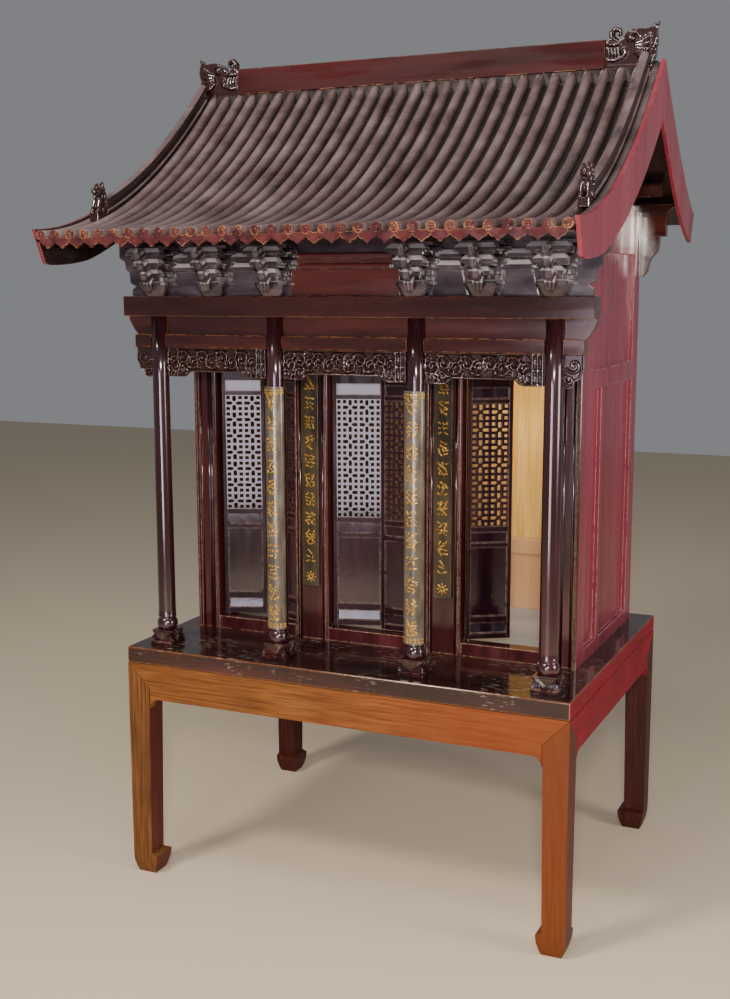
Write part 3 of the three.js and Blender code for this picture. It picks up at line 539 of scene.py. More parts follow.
def on_roof(eave, y, level):
    """The height of a slope at a depth, at a level over the top edge of its barge boards."""
    eave_y, eave_z, bend = eave
    run, rise = APEX_Y - eave_y, APEX_Z - eave_z
    t = min(max((y - eave_y) / run, 0), 1)
    slope = rise * bend * t ** (bend - 1) / run
    return eave_z + rise * t ** bend + level * math.hypot(1, slope)


def sweep_on_roof(form, depths, section):
    """Runs a section of (x, level) points along the front slope."""
    loft(form, [[(x, y, on_roof(FRONT_EAVE, y, level)) for x, level in section] for y in depths])


def make_deck(depths):
    """The deck with its pans, and the batten that closes it under the ridge."""
    half = RIB_PITCH * (RIB_COUNT - 1) / 2 + RIB_RADIUS
    across = [(-half, DECK_LOW), (-half, DECK_RIM)]
    for k in range(RIB_COUNT - 1):
        middle = RIB_PITCH * (k - (RIB_COUNT - 2) / 2)
        across += [(middle + dx, PAN_RIM - PAN_SAG * (1 - (dx / PAN_HALF) ** 2)) for dx in (-9, -3, 3, 9)]
    across += [(half, DECK_RIM), (half, DECK_LOW)]
    deck = bmesh.new()
    sweep_on_roof(deck, depths, across)
    batten = APEX_Y - 13
    heights = [on_roof(FRONT_EAVE, batten, level) for level in (-28, -4)]
    block(deck, (-half, half), (batten, APEX_Y - 1), heights)
    # The deck with its pans takes the dark pan lacquer, which paints the shade between the ribs.
    wrap_up(deck, "roof_deck", DARK_PAN_AND_SHADE_LACQUER, node="roof_front")


def make_rib(depths):
    """One half-round rib."""
    rib = bmesh.new()
    arch = [(x, DECK_RIM + up) for x, up in (polar(RIB_RADIUS, a) for a in range(0, 181, 20))]
    sweep_on_roof(rib, depths, [(RIB_RADIUS, -27)] + arch + [(-RIB_RADIUS, -27)])
    for face in rib.faces:
        face.smooth = True
    return rib


def make_tile_end():
    """One round tile end, with a raised rim, a ring and a boss."""
    disc = bmesh.new()
    profile = ((11.6, 5), (11.6, 1), (10.6, 0), (8.8, 0), (7.9, 1.6), (4.4, 1.6), (3.2, 0.6), (1.2, 0.3))
    centre = (0, 0, on_roof(FRONT_EAVE, EAVE_Y, -14))
    lathe(disc, [(radius, EAVE_Y + back) for radius, back in profile], 20, centre, "Y")
    return disc


def make_drip():
    """One drip tile, hanging to a point between two ribs."""
    drip = bmesh.new()
    edge = [(19.7, -28), (17.5, -31.5), (14.5, -34.5), (10.5, -36), (6.5, -38), (3, -41.5), (0, -44)]
    top = [(-19.7, -17), (-12, -17.5), (-6, -20), (0, -21), (6, -20), (12, -17.5), (19.7, -17)]
    outline = top + edge + [(-x, level) for x, level in edge[-2::-1]]
    plate(drip, [(x, on_roof(FRONT_EAVE, EAVE_Y, level)) for x, level in outline], EAVE_Y + 1.4, EAVE_Y + 9)
    return drip


def make_roof():
    """The front slope: its deck, its ribs, and the tile ends and drip tiles that hang along the eave."""
    depths = steps_to(EAVE_Y + 3, APEX_Y - 0.2, 30)
    make_deck(depths)
    for name, item, finish, count in (("roof_ribs", make_rib(depths), TILE_LACQUER, RIB_COUNT),
                                      ("tile_ends", make_tile_end(), TILE_END_WOOD, RIB_COUNT),
                                      ("drip_tiles", make_drip(), TILE_END_WOOD, RIB_COUNT - 1)):
        in_row(name, item, finish, count, "roof_front", RIB_PITCH)


def make_barges():
    """Barge boards: deep at the apex, narrower towards the eave, where their foot is cut back."""
    for eave, place in ((FRONT_EAVE, "front"), (BACK_EAVE, "back")):
        toward = 1 if eave[0] < APEX_Y else -1
        for side, end in SIDES:
            form = bmesh.new()
            rings = []
            for i, y in enumerate(steps_to(eave[0], APEX_Y - toward * 0.15, 26)):
                depth = BARGE_DEPTH + BARGE_FLARE * min(1, abs(y - eave[0]) / 200)
                foot = y + toward * BARGE_CUT * max(0, 1 - i / 2)
                corners = ((BARGE_INNER, y, 0), (BARGE_OUTER, y, 0), (BARGE_OUTER, foot, -depth),
                           (BARGE_INNER, foot, -depth))
                rings.append([(side * x, back, on_roof(eave, back, level)) for x, back, level in corners])
            loft(form, rings)
            bmesh.ops.recalc_face_normals(form, faces=form.faces)
            # Faces that look inwards, under the roof, take the dark pan lacquer as painted shade.
            for face in form.faces:
                face.material_index = int(side * face.normal.x < -0.5)
            wrap_up(form, f"barge_{place}_{end}_finished", CRIMSON_LACQUER, DARK_PAN_AND_SHADE_LACQUER, bevel=1.2)


def make_descending_ridges():
    """A capped ridge on each end of the front slope, with a seated beast at its foot."""
    arch = [(polar(12.5, a)[0], 21 + polar(12, a)[1]) for a in range(20, 161, 20)]
    half = [(7, -15.6), (7, -2), (13, -2), (13, 3), (9.5, 6), (9.5, 18), (12.5, 21)]
    section = half + arch + [(-x, level) for x, level in half[::-1]]
    depths = steps_to(RIDGE_FOOT_Y, RIDGE_TOP_Y, 24)
    for side, end in SIDES:
        ridge = bmesh.new()
        sweep_on_roof(ridge, depths, [(side * RIDGE_X + x, level) for x, level in section])
        ridge.normal_update()
        # The upright sides of the ridge take the dark pan lacquer as painted shade.
        for face in ridge.faces:
            face.material_index = int(abs(face.normal.x) > 0.8)
        wrap_up(ridge, f"descending_ridge_{end}_finished", TILE_LACQUER, DARK_PAN_AND_SHADE_LACQUER, bevel=0.8)
        beast = bmesh.new()
        carve_beast(beast, side * RIDGE_X, RIDGE_FOOT_Y, on_roof(FRONT_EAVE, RIDGE_FOOT_Y - 20, 2))
        fuse(wrap_up(beast, f"ridge_beast_{end}", RELIEF_LACQUER, node=f"descending_ridge_{end}"), 1.3)


def carve_beast(form, x, y, ground):
    """A seated beast facing down the slope: haunches, chest, legs, a big head with jaws, ears and a mane."""
    def at(across, back, up):
        return x + across, y + back, ground + up

    # The plinth, the haunches and the chest.
    block(form, (x - 12, x + 12), (y - 42, y + 1), (ground - 16, ground + 3))
    egg(form, at(0, -10, 16), (13, 15, 17))
    egg(form, at(0, -20, 26), (11.5, 12, 22))
    # On each side a foreleg with its paw, a thigh, an ear, an eye and the locks of the mane.
    for s in (-1, 1):
        tube(form, [at(s * 6.5, -24, 32), at(s * 7.5, -30, 16), at(s * 7.5, -33, 2)], [6.5, 6, 5.5], 10)
        egg(form, at(s * 7.5, -37, 5), (5.4, 6.5, 4), 1)
        egg(form, at(s * 9.5, -12, 11), (6, 13, 11), 1)
        tube(form, [at(s * 7, -20, 60), at(s * 10, -15, 68), at(s * 8, -10, 74)], [4, 3.6, 1.2])
        egg(form, at(s * 6.5, -35, 60), (4, 3.8, 4), 1)
        for k in range(4):
            egg(form, at(s * 11, 3 * k - 14, 58 - 9 * k), (4.5, 6, 5.5), 1)
    # The head with its two jaws and its nose, then the crest and the tail.
    egg(form, at(0, -24, 52), (13, 14, 13.5))
    egg(form, at(0, -37, 51), (9, 8, 5.4), 1)
    egg(form, at(0, -34, 41), (7.5, 8, 3.6), 1)
    egg(form, at(0, -43, 55), (4.4, 3.2, 3), 1)
    tube(form, [at(0, -18, 62), at(0, -8, 68), at(0, -2, 75)], [7, 6, 3.5])
    tube(form, [at(0, -2, 18), at(0, 6, 34), at(0, 2, 54)], [6, 6.5, 3])


def make_dragons():
    """The heads that bite the ends of the ridge: open jaws, a curled snout, an eye, a mane and a tail fin."""
    outline = [(0, 2014), (0, 2064), (7, 2071), (18, 2072), (30, 2066), (40, 2070), (50, 2082), (62, 2090),
               (80, 2092), (96, 2090), (108, 2094), (118, 2086), (121, 2066), (114, 2046), (118, 2030),
               (108, 2010)]
    for side, end in SIDES:
        form = bmesh.new()

        def at(u, z, out=0.0):
            return side * (DRAGON_X + u), APEX_Y + out, z

        plate(form, [at(u, z)[::2] for u, z in outline], APEX_Y - 13, APEX_Y + 13)
        block(form, (side * 495, side * 606), (APEX_Y - 12, APEX_Y + 12), (1990, 2018))
        snout = ((24, 2064), (14, 2074), (12, 2086), (20, 2095), (31, 2092), (34, 2082), (27, 2079))
        tube(form, [at(u, z) for u, z in snout], [9, 9, 8, 7, 6, 4.5, 3], 10, (1, 1.5, 1))
        fin = ((96, 2070), (110, 2082), (119, 2096), (124, 2106))
        tube(form, [at(u, z) for u, z in fin], [15, 10, 6, 1.6], 10, (0.75, 1, 1))
        for front in (-1, 1):
            carve_cheek(form, lambda u, z, out: at(u, z, front * out))
        fuse(wrap_up(form, f"ridge_dragon_{end}_finished", RELIEF_LACQUER), 1.5)


def carve_cheek(form, at):
    """One cheek of a dragon head: its eye under a brow, the hair behind, the lips, a fang and the scales."""
    egg(form, at(60, 2070, 15), (10, 6, 10))
    egg(form, at(60, 2070, 20), (5.5, 4, 5.5), 1)
    tube(form, [at(46, 2076, 14), at(58, 2084, 16), at(74, 2082, 14), at(82, 2072, 12)], [3, 4.5, 4, 2])
    for k in range(5):
        tube(form, [at(70, 2056 - 4 * k, 14), at(88, 2060 - 9 * k, 16), at(104, 2072 - 14 * k, 13),
                    at(112, 2084 - 20 * k, 9)], [5, 5.5, 4, 1.5])
    for k in range(4):
        u, z = 8 * k, 2040 - 2 * k
        tube(form, [at(u + 6, 2050, 12), at(u + 9, z, 15), at(u + 8, z - 10, 13)], [2.5, 3.6, 1.5])
    tube(form, [at(4, 2060, 14), at(20, 2057, 17), at(36, 2060, 15)], [3, 4, 3])
    tube(form, [at(4, 2024, 13), at(22, 2022, 15), at(44, 2030, 14), at(52, 2044, 13)], [3, 4, 4, 3])
    egg(form, at(46, 2040, 12), (9, 8, 12), 1)
    for k in range(6):
        egg(form, at(118 - abs(k - 2.5) * 1.6, 2094 - 13 * k, 4), (5, 8, 7), 1)


# ------------------------------------------------------------------ leaves
LEAF_LOW, LEAF_HIGH, LEAF_HALF = 640, 1292, 6.5
LEAF_PIVOT, LEAF_STILE, LEAF_AXIS_Y, LEAF_GAP, PEG_RADIUS, PEG_LENGTH = 7, 8.5, -49, 3, 3.4, 9
LEAF_PANES = ((653, 681), (696, 870), (880, 908), (1232, 1261))
LEAF_RAILS = ((640, 653), (681, 696), (870, 880), (908, 921), (1222, 1232), (1261, 1292))
PANE_FRONT, PANE_STEP, PANE_STEP_FRONT, FRAME_FRONT, FOOT_PANE_LEAN = -2.5, 2.6, -5, -5.8, 3.6
LATTICE_LOW, LATTICE_HIGH, LATTICE_ROWS, LATTICE_BAR = 920.4, 1222.6, 21, 3.5
# The four sides of a lattice cell, as the direction in which each runs: foot, right, head and left.
DIRECTIONS = ((1, 0), (0, 1), (-1, 0), (0, -1))
# Each bay: its opening in X, how far its two leaves stand open in degrees, and the columns of its lattice,
# where X marks the crossed ones.
BAYS = {"left": ((-455, -226), (22, 25), ".X..X."), "middle": ((-133, 133), (18, 3), "..X..X.."),
        "right": ((226, 455), (32, 80), ".X..X.")}
# Where the fine beads of the front posts stand in X, by the solid that each post is part of.
POST_BEADS = {"side_wall": (471, 478.5, 501), "middle_post": (148, 211)}
BEAD_RADIUS, BEAD_Y, BEAD_LOW, BEAD_HIGH = 3, -78.2, 604, 1299


def pierced_plate(form, polygons, front, back):
    """Thickens flat polygons in X and Z that share corners, from a front Y to a back Y."""
    made, edges = {}, set()

    def corner(point, y):
        if (point, y) not in made:
            made[point, y] = form.verts.new((point[0], y, point[1]))
        return made[point, y]

    for polygon in polygons:
        points = [(round(x, 3), round(z, 3)) for x, z in polygon]
        form.faces.new([corner(p, front) for p in points])
        form.faces.new([corner(p, back) for p in points[::-1]])
        edges.update(zip(points, points[1:] + points[:1]))
    for a, b in edges:
        if (b, a) not in edges:
            form.faces.new((corner(b, front), corner(a, front), corner(a, back), corner(b, back)))


def cell_bars(x0, x1, z0, z1, is_crossed, joins_crossed):
    """The outlines of the bars in one cell: a cross from corner to corner, or a rim without the sides that
    join a crossed cell."""
    outer = [(x0, z0), (x1, z0), (x1, z1), (x0, z1)]
    bar, notch = LATTICE_BAR, LATTICE_BAR * 1.2
    if is_crossed:
        cross = []
        for i, (dx, dz) in enumerate(DIRECTIONS):
            (ax, az), (bx, bz) = outer[i], outer[(i + 1) % 4]
            middle = ((x0 + x1) / 2 + dz * notch, (z0 + z1) / 2 - dx * notch)
            cross += [(ax, az), (ax + dx * bar, az + dz * bar), middle, (bx - dx * bar, bz - dz * bar)]
        return [cross]
    foot, right, head, left = rims = [0 if joins else bar for joins in joins_crossed]
    inner = [(x0 + left, z0 + foot), (x1 - right, z0 + foot), (x1 - right, z1 - head), (x0 + left, z1 - head)]
    return [[outer[i], outer[(i + 1) % 4], inner[(i + 1) % 4], inner[i]] for i, rim in enumerate(rims) if rim]


def lattice(form, left, right, pattern):
    """Rows of square holes, where every third cell of a marked column is crossed."""
    wide, high = (right - left) / len(pattern), (LATTICE_HIGH - LATTICE_LOW) / LATTICE_ROWS
    crossed = {(c, r) for c, mark in enumerate(pattern) if mark == "X" for r in range(1, LATTICE_ROWS, 3)}
    polygons = []
    for c in range(len(pattern)):
        for r in range(LATTICE_ROWS):
            joins = [(c + dz, r - dx) in crossed for dx, dz in DIRECTIONS]
            polygons += cell_bars(left + c * wide, left + (c + 1) * wide, LATTICE_LOW + r * high,
                                  LATTICE_LOW + (r + 1) * high, (c, r) in crossed, joins)
    pierced_plate(form, polygons, -4.5, 5)


def sink_pane(form, left, right, low, high):
    """A pane behind the frame, with a stepped edge. The lowest one leans back."""
    lean = FOOT_PANE_LEAN if low == LEAF_PANES[0][0] else 0
    loft(form, [rectangle((left - 1, right + 1), (front, LEAF_HALF - 0.4), z)
                for front, z in ((PANE_FRONT - lean / 2, low - 1), (PANE_FRONT + lean, high + 1))])
    for z in ((low, low + PANE_STEP), (high - PANE_STEP, high)):
        block(form, (left, right), (PANE_STEP_FRONT, -2), z)
    for x in ((left, left + PANE_STEP), (right - PANE_STEP, right)):
        block(form, x, (PANE_STEP_FRONT + 0.1, -2), (low + 2, high - 2))


def make_leaf(name, width, pattern, side, edge, angle):
    """One leaf, made about its pivot and then turned into its opening: stiles, rails, panes and lattice."""
    form = bmesh.new()
    start, end = -LEAF_PIVOT, width - LEAF_PIVOT
    left, right = start + LEAF_STILE, end - LEAF_STILE
    for x in ((start, left), (right, end)):
        block(form, x, (-LEAF_HALF, LEAF_HALF), (LEAF_LOW, LEAF_HIGH))
    for z in LEAF_RAILS:
        block(form, (left - 1, right + 1), (-LEAF_HALF + 0.3, LEAF_HALF - 0.2), z)
    for low, high in LEAF_PANES:
        sink_pane(form, left, right, low, high)
    lattice(form, left - 0.6, right + 0.6, pattern)
    lathe(form, [(PEG_RADIUS, LEAF_LOW - PEG_LENGTH), (PEG_RADIUS, LEAF_HIGH + PEG_LENGTH)], 16)
    for face in form.faces:
        face.material_index = int(face.calc_center_median().y < FRAME_FRONT)
    place = (Matrix.Translation((edge + side * (LEAF_GAP + LEAF_PIVOT), LEAF_AXIS_Y, 0))
             @ Matrix.Rotation(math.radians(side * angle), 4, "Z") @ Matrix.Diagonal((side, 1, 1, 1)))
    bmesh.ops.transform(form, matrix=place, verts=form.verts)
    wrap_up(form, name, LEAF_LACQUER, LEAF_FRAME_LACQUER, bevel=0.55)


def make_leaves():
    """Two leaves in each bay, that meet in its middle."""
    for bay, ((x0, x1), (left_angle, right_angle), pattern) in BAYS.items():
        width = (x1 - x0) / 2 - 1.5 * LEAF_GAP
        make_leaf(f"door_{bay}_bay_left_finished", width, pattern, 1, x0, left_angle)
        make_leaf(f"door_{bay}_bay_right_finished", width, pattern, -1, x1, right_angle)


def make_post_beads():
    """Fine beads run in the sunk faces of the front posts, beside the wide beads on their edges."""
    for side, end in SIDES:
        for solid, places in POST_BEADS.items():
            form = bmesh.new()
            for x in places:
                lathe(form, [(BEAD_RADIUS, BEAD_LOW), (BEAD_RADIUS, BEAD_HIGH)], 12, (side * x, BEAD_Y, 0))
            shade_round(form)
            wrap_up(form, f"{solid}_{end}_beads", UPRIGHT_LACQUER)


# ------------------------------------------------------------------ columns and their inscriptions
COLUMNS = {"far_left": -502, "near_left": -180, "near_right": 180, "far_right": 502}
COLUMN_Y, BOARD_TOP = -261, 603.3
SLEEVE_X, SLEEVE_INNER, SLEEVE_OUTER, SLEEVE_LOW, SLEEVE_HIGH, SLEEVE_EDGE = 180, 23.4, 27, 678, 1266, 8.5
COUPLET_X, COUPLET_HALF, COUPLET_FRONT, COUPLET_BACK = 179.5, 23, -86.3, -78.3
COUPLET_LOW, COUPLET_HIGH = 745, 1295.7
# Each inscription: the height of its first group, the fall from one to the next, how many, and their size.
SLEEVE_TEXT = (1232, 51.5, 11, 31, 38)
BOARD_TEXT = (1262, 49, 10, 28, 35)
FLOWER_Z, FLOWER_RADIUS = 768, 9


def make_columns():
    """Turned columns on a drum, over a square pedestal hung with a pointed cloth on each side."""
    drum = [(19, 637), (21.5, 640.6), (24.4, 644), (25.6, 649.5), (25.8, 656), (25, 662), (22.4, 667.4)]
    ring = [(20.6, 669.4), (20.8, 671.2), (22.6, 672.4), (23, 674.6), (22.2, 676.4)]
    turned = drum + ring + [(21.9, 690), (20.6, 1290), (20, 1429.6)]
    for name, x in COLUMNS.items():
        shaft = bmesh.new()
        lathe(shaft, turned, 56, (x, COLUMN_Y, 0))
        shade_round(shaft)
        wrap_up(shaft, f"column_{name}_shaft", UPRIGHT_LACQUER)
        wrap_up(carve_pedestal(x), f"column_{name}_pedestal", PEDESTAL_LACQUER, bevel=0.5)


def carve_pedestal(x):
    """A waisted block on two steps, with a cloth over each side."""
    foot = bmesh.new()
    for _ in range(4):
        hang_cloth(foot)
        bmesh.ops.rotate(foot, matrix=Matrix.Rotation(math.pi / 2, 3, "Z"), verts=foot.verts)
    for half, low, high in ((31.5, 0, 5.5), (30, 5, 8.5)):
        block(foot, (-half, half), (-half, half), (BOARD_TOP + low, BOARD_TOP + high))
    waist = ((28.5, 8), (29, 13), (27, 21), (24.5, 29), (24.5, 31), (27.5, 33), (27.5, 37.6))
    loft(foot, [rectangle((-half, half), (-half, half), BOARD_TOP + rise) for half, rise in waist])
    bmesh.ops.translate(foot, vec=(x, COLUMN_Y, 0), verts=foot.verts)
    return foot


def hang_cloth(form):
    """A pointed cloth with two corded edges, a boss, and a scroll at each corner."""
    drop = ((-25, 34), (25, 34), (3, 12), (0, 10.5), (-3, 12))
    plate(form, [(x, BOARD_TOP + rise) for x, rise in drop], -29.8, -26)
    scroll = ((0, 0, 22), (0.5, 1, 16), (0, 1.5, 11), (-3, 1.6, 9.5), (-4, 1.4, 12.5), (-2.4, 1, 14))
    for side in (-1, 1):
        for x, high, low, thick in ((24, 31, 13, 1.1), (17, 32, 18, 0.8)):
            tube(form, [(side * x, -29.6, BOARD_TOP + high), (0, -30, BOARD_TOP + low)], [thick, thick], 6)
        tube(form, [(side * (28 + out), -28 - front, BOARD_TOP + rise) for out, front, rise in scroll],
             [1.6, 2.2, 2.4, 2.2, 1.7, 1])
    egg(form, (0, -30, BOARD_TOP + 26), (3.2, 1.2, 3.2), 1)


def dab(form, onto, u, z, length, lean, thick):
    """One tapered brush stroke raised a little from a surface: onto gives the point at (u, z, height)."""
    shape = ((-0.5, 0.1), (-0.38, 0.5), (0.1, 0.32), (0.42, 0.3), (0.5, 0), (0.36, -0.38), (-0.1, -0.28),
             (-0.42, -0.42))
    cos, sin = polar(1, lean)
    outline = []
    for a, b in shape:
        a, b = a * length, b * thick
        outline.append((a * cos - b * sin, a * sin + b * cos))
    loft(form, [[onto(u + p * size, z + q * size, height) for p, q in outline]
                for size, height in ((1, -0.4), (1, 0.6), (0.8, 1.1))])


def stroke_group(form, onto, rng, z, width, height):
    """Loose rows of slanted dabs that fill a place and spell nothing."""
    rows = rng.choice((3, 4, 4, 5))
    for row in range(rows):
        level = z + height * (0.5 - (row + 0.5) / rows)
        parts = rng.choice((1, 2, 2, 3))
        for k in range(parts):
            across = width * ((k + 0.5) / parts - 0.5) + rng.uniform(-1.5, 1.5)
            length = width / parts * rng.uniform(0.75, 1.1)
            lean = rng.choice((-50, -28, -12, 14, 30, 62)) + rng.uniform(-8, 8)
            dab(form, onto, across, level + rng.uniform(-1, 1), min(length, 19), lean, rng.uniform(4.4, 6.4))


def stroke_groups(form, onto, rng, text):
    """The groups of strokes of one inscription, from the top down."""
    first, fall, count, width, height = text
    for k in range(count):
        stroke_group(form, onto, rng, first - fall * k, width, height)


def make_sleeve(side, end, rng):
    """A half-round sleeve on a near column, with strokes between two bands of gilt studs."""
    def onto(u, z, height):
        angle = u / SLEEVE_OUTER - math.pi / 2
        reach = SLEEVE_OUTER + height
        return side * SLEEVE_X + reach * math.cos(angle), COLUMN_Y + reach * math.sin(angle), z

    sleeve = bmesh.new()
    turns = steps_to(180, 360, 28)
    section = [polar(SLEEVE_OUTER, a) for a in turns] + [polar(SLEEVE_INNER, a) for a in turns[::-1]]
    loft(sleeve, [[(side * SLEEVE_X + x, COLUMN_Y + y, z) for x, y in section]
                  for z in (SLEEVE_LOW, SLEEVE_HIGH)])
    for face in sleeve.faces:
        face.material_index = int(face.calc_center_median().y > COLUMN_Y - SLEEVE_EDGE)
    wrap_up(sleeve, f"couplet_sleeve_{end}_ground", SLEEVE_GROUND, UPRIGHT_LACQUER, bevel=0.4)

    gilt = bmesh.new()
    stroke_groups(gilt, onto, rng, SLEEVE_TEXT)
    for low in (SLEEVE_LOW + 4, SLEEVE_LOW + 10.5, SLEEVE_HIGH - 16, SLEEVE_HIGH - 9.5):
        for k in range(-3, 4):
            stud = rectangle((9.5 * k - 3.2, 9.5 * k + 3.2), (low, low + 4), 0)
            loft(gilt, [[onto(u, z, height) for u, z, _ in stud] for height in (-0.3, 0.5)])
    wrap_up(gilt, f"couplet_sleeve_{end}_strokes", WORN_GILT)


def make_couplet_board(side, end, rng):
    """A flat board on a middle post, with strokes over a gilt flower."""
    def onto(u, z, height):
        return side * COUPLET_X + u, COUPLET_FRONT - height, z

    board = bmesh.new()
    middle = side * COUPLET_X
    block(board, (middle - COUPLET_HALF, middle + COUPLET_HALF), (COUPLET_FRONT, COUPLET_BACK),
          (COUPLET_LOW, COUPLET_HIGH))
    wrap_up(board, f"couplet_board_{end}_ground", BOARD_GROUND, bevel=0.8)
    gilt = bmesh.new()
    stroke_groups(gilt, onto, rng, BOARD_TEXT)
    for petal in range(0, 360, 45):
        u, z = polar(FLOWER_RADIUS, petal)
        dab(gilt, onto, u, FLOWER_Z + z, 12, petal, 5)
    wrap_up(gilt, f"couplet_board_{end}_strokes", WORN_GILT)


def make_inscriptions():
    """Gilt strokes down the sleeves of the near columns and the boards of the middle posts."""
    rng = random.Random(11)
    for side, end in SIDES[::-1]:
        make_sleeve(side, end, rng)
        make_couplet_board(side, end, rng)


# ------------------------------------------------------------------ carved frets
FRET_TOP, FRET_LOW, FRET_FOOT, FRET_FRONT, FRET_BACK = 1354.7, 1296, 1283, -261.5, -255
FRET_END, FRET_BLOCK, FRET_FLOWER_Z, BRACKET_X = 22.2, 26, 1326, 524.2


def scrolls(form, rng, x0, x1, z0, z1):
    """A running vine: spirals that turn alternately up and down, with leaves and buds between them."""
    count = max(2, round((x1 - x0) / 27))
    pitch = (x1 - x0) / count
    size, middle = (z1 - z0) / 2, (z0 + z1) / 2
    front = FRET_FRONT
    stem = [(x0, front - 1, middle)]
    for k in range(count):
        cx = x0 + pitch * (k + 0.5)
        up = 1 if k % 2 else -1
        cz = middle + up * size * 0.16
        curl(form, (cx, cz), (size * 0.86, size * 0.18), 180 + 20 * up, -up * 470, front - 1.5, 3, (2.9, 1.8))
        egg(form, (cx, front - 3.5, cz), (3.6, 3.4, 3.6), 1)
        for corner in (-1, -1, 1, 1):
            dx, dz = polar(5.5, rng.uniform(20, 70) * corner * up)
            lx = cx + corner * pitch * rng.uniform(0.34, 0.5)
            lz = middle - up * size * rng.uniform(0.25, 0.95)
            leaf = [(lx - dx, front - 0.5, lz - dz), (lx, front - 3.4, lz), (lx + dx, front - 1, lz + dz)]
            tube(form, leaf, [1.1, 3.3, 0.8], 7, (1, 1.1, 1))
        stem.append((cx, front - 1.4, middle + up * size * 0.9))
    stem.append((x1, front - 1, middle))
    tube(form, stem, [2.2] * len(stem), 7)


def make_fret(bay, left, right, rng):
    """A board of scrollwork under the rail, lower at the columns, with an end block on its right."""
    form = bmesh.new()
    front = FRET_FRONT
    drop = [(left, FRET_FOOT + 3), (left + 8, FRET_FOOT), (left + 48, FRET_FOOT), (left + 60, FRET_LOW - 3),
            (left + 68, FRET_LOW)]
    edge = drop + [(left + right - x, z) for x, z in drop[::-1]]
    plate(form, [(left, FRET_TOP)] + edge + [(right, FRET_TOP)], front, FRET_BACK)
    block(form, (left, right), (front - 5, FRET_BACK), (FRET_TOP - 3.6, FRET_TOP))
    tube(form, [(x, front - 3, z + 1.8) for x, z in edge], [2.2] * len(edge), 7)
    scrolls(form, rng, left + 5, right - 27, FRET_LOW + 6, FRET_TOP - 5)
    for x in ((left + 2, left + 56), (right - 58, right - 28)):
        scrolls(form, rng, *x, FRET_FOOT + 3, FRET_LOW + 16)
    # The flower in the middle: six petals round a boss.
    middle = (left + right) / 2
    for petal in range(30, 360, 60):
        x, z = polar(8, petal)
        egg(form, (middle + x, front - 3.5, FRET_FLOWER_Z + z), (6, 3, 6), 1)
    egg(form, (middle, front - 4.5, FRET_FLOWER_Z), (5, 3, 5), 1)
    # The ends: a strip on the left, and on the right a block framed into four fields with a bud in each.
    block(form, (left, left + 3.6), (front - 4.5, FRET_BACK), (FRET_FOOT + 3, FRET_TOP))
    block(form, (right - FRET_BLOCK, right), (front - 6.5, FRET_BACK), (FRET_FOOT + 1, FRET_TOP))
    for x in (right - 25, right - 13, right - 1.5):
        block(form, (x - 1.7, x + 1.7), (front - 10, front - 4.5), (FRET_FOOT + 1, FRET_TOP))
    for z in (FRET_FOOT + 3, 1318, FRET_TOP - 2):
        block(form, (right - FRET_BLOCK, right), (front - 9.5, front - 4.5), (z - 1.7, z + 1.7))
    for x, z in ((right - 19, 1299), (right - 7, 1299), (right - 19, 1336), (right - 7, 1336)):
        egg(form, (x, front - 7, z), (3.6, 2.6, 9), 1)
    fuse(wrap_up(form, f"carved_fret_{bay}_relief", RELIEF_LACQUER), 1.25)


def make_end_bracket(side, end):
    """A carved bracket outside a far column: two spirals on a board with a corded edge."""
    form = bmesh.new()
    outline = [(0, FRET_TOP), (0, 1284), (8, 1281), (20, 1284), (24, 1298), (36, 1302), (40, 1316),
               (45, 1322), (44, FRET_TOP)]
    plate(form, [(side * (BRACKET_X + u), z) for u, z in outline], FRET_FRONT, FRET_BACK)
    for u, z, size, start in ((22, 1330, 17, 200), (12, 1300, 11, 120)):
        curl(form, (BRACKET_X + u, z), (size, 3), start, 430, FRET_FRONT - 1.5, 2, (2.8, 1.8), side)
        egg(form, (side * (BRACKET_X + u), FRET_FRONT - 3, z), (3.5, 3, 3.5), 1)
    edge = [(side * (BRACKET_X + u * 0.96), FRET_FRONT - 2, z) for u, z in outline[1:]]
    tube(form, edge, [2] * len(edge), 7)
    fuse(wrap_up(form, f"end_bracket_{end}_relief", RELIEF_LACQUER), 1.1)


def make_frets():
    """The frets between the columns and the brackets outside them."""
    rng = random.Random(5)
    places = list(COLUMNS.values())
    for left, right, bay in zip(places, places[1:], BAYS):
        make_fret(bay, left + FRET_END, right - FRET_END, rng)
    for side, end in SIDES:
        make_end_bracket(side, end)


# ------------------------------------------------------------------ bracket clusters and their backing
CLUSTERS = {"left_outer": -502, "left_middle": -341, "left_inner": -180,
            "right_inner": 180, "right_middle": 341, "right_outer": 502}
CLUSTER_LOW, CLUSTER_BACK = 1478.3, -256.3
# Each level of the flared block: its half width, its reach forward and its height.
FLARE = ((25, 27, 0), (29, 31, 7), (36, 39, 24), (37, 40, 27), (37, 40, 33), (31, 34, 35), (31, 34, 45))
# Each point of a beak flute, from its root to its tip: how far it spreads, its reach, height and thickness.
FLUTE = ((0.7, 32, 41, 0.8), (1, 46, 38, 1), (1.05, 54, 28, 1), (0.8, 50, 15, 0.85), (0.4, 42, 8, 0.4))
# Each tier: its height over the lintel, its reach forward, its half width in front and at the backing.
TIERS = ((46, 44, 30, 41), (71, 58, 44, 51), (96, 72, 57, 63))
# Each point of a tier's nose: how far behind the tier's reach it lies, its height and its thickness.
NOSE = ((12, 6, 10), (-4, 1, 12), (-15, -4, 11.5), (-24, -1, 10), (-28, 7, 8), (-24, 12, 5.5), (-19, 9, 2.5))
# The board on top of each cluster: its half width, which is its reach too, and its heights.
CAP_HALF, CAP_LOW, CAP_HIGH = 60, 110.5, 117.5
BACKING_FRONT, BACKING_BACK = -256, -244
BACKING_RAILS = (1541, 1565)


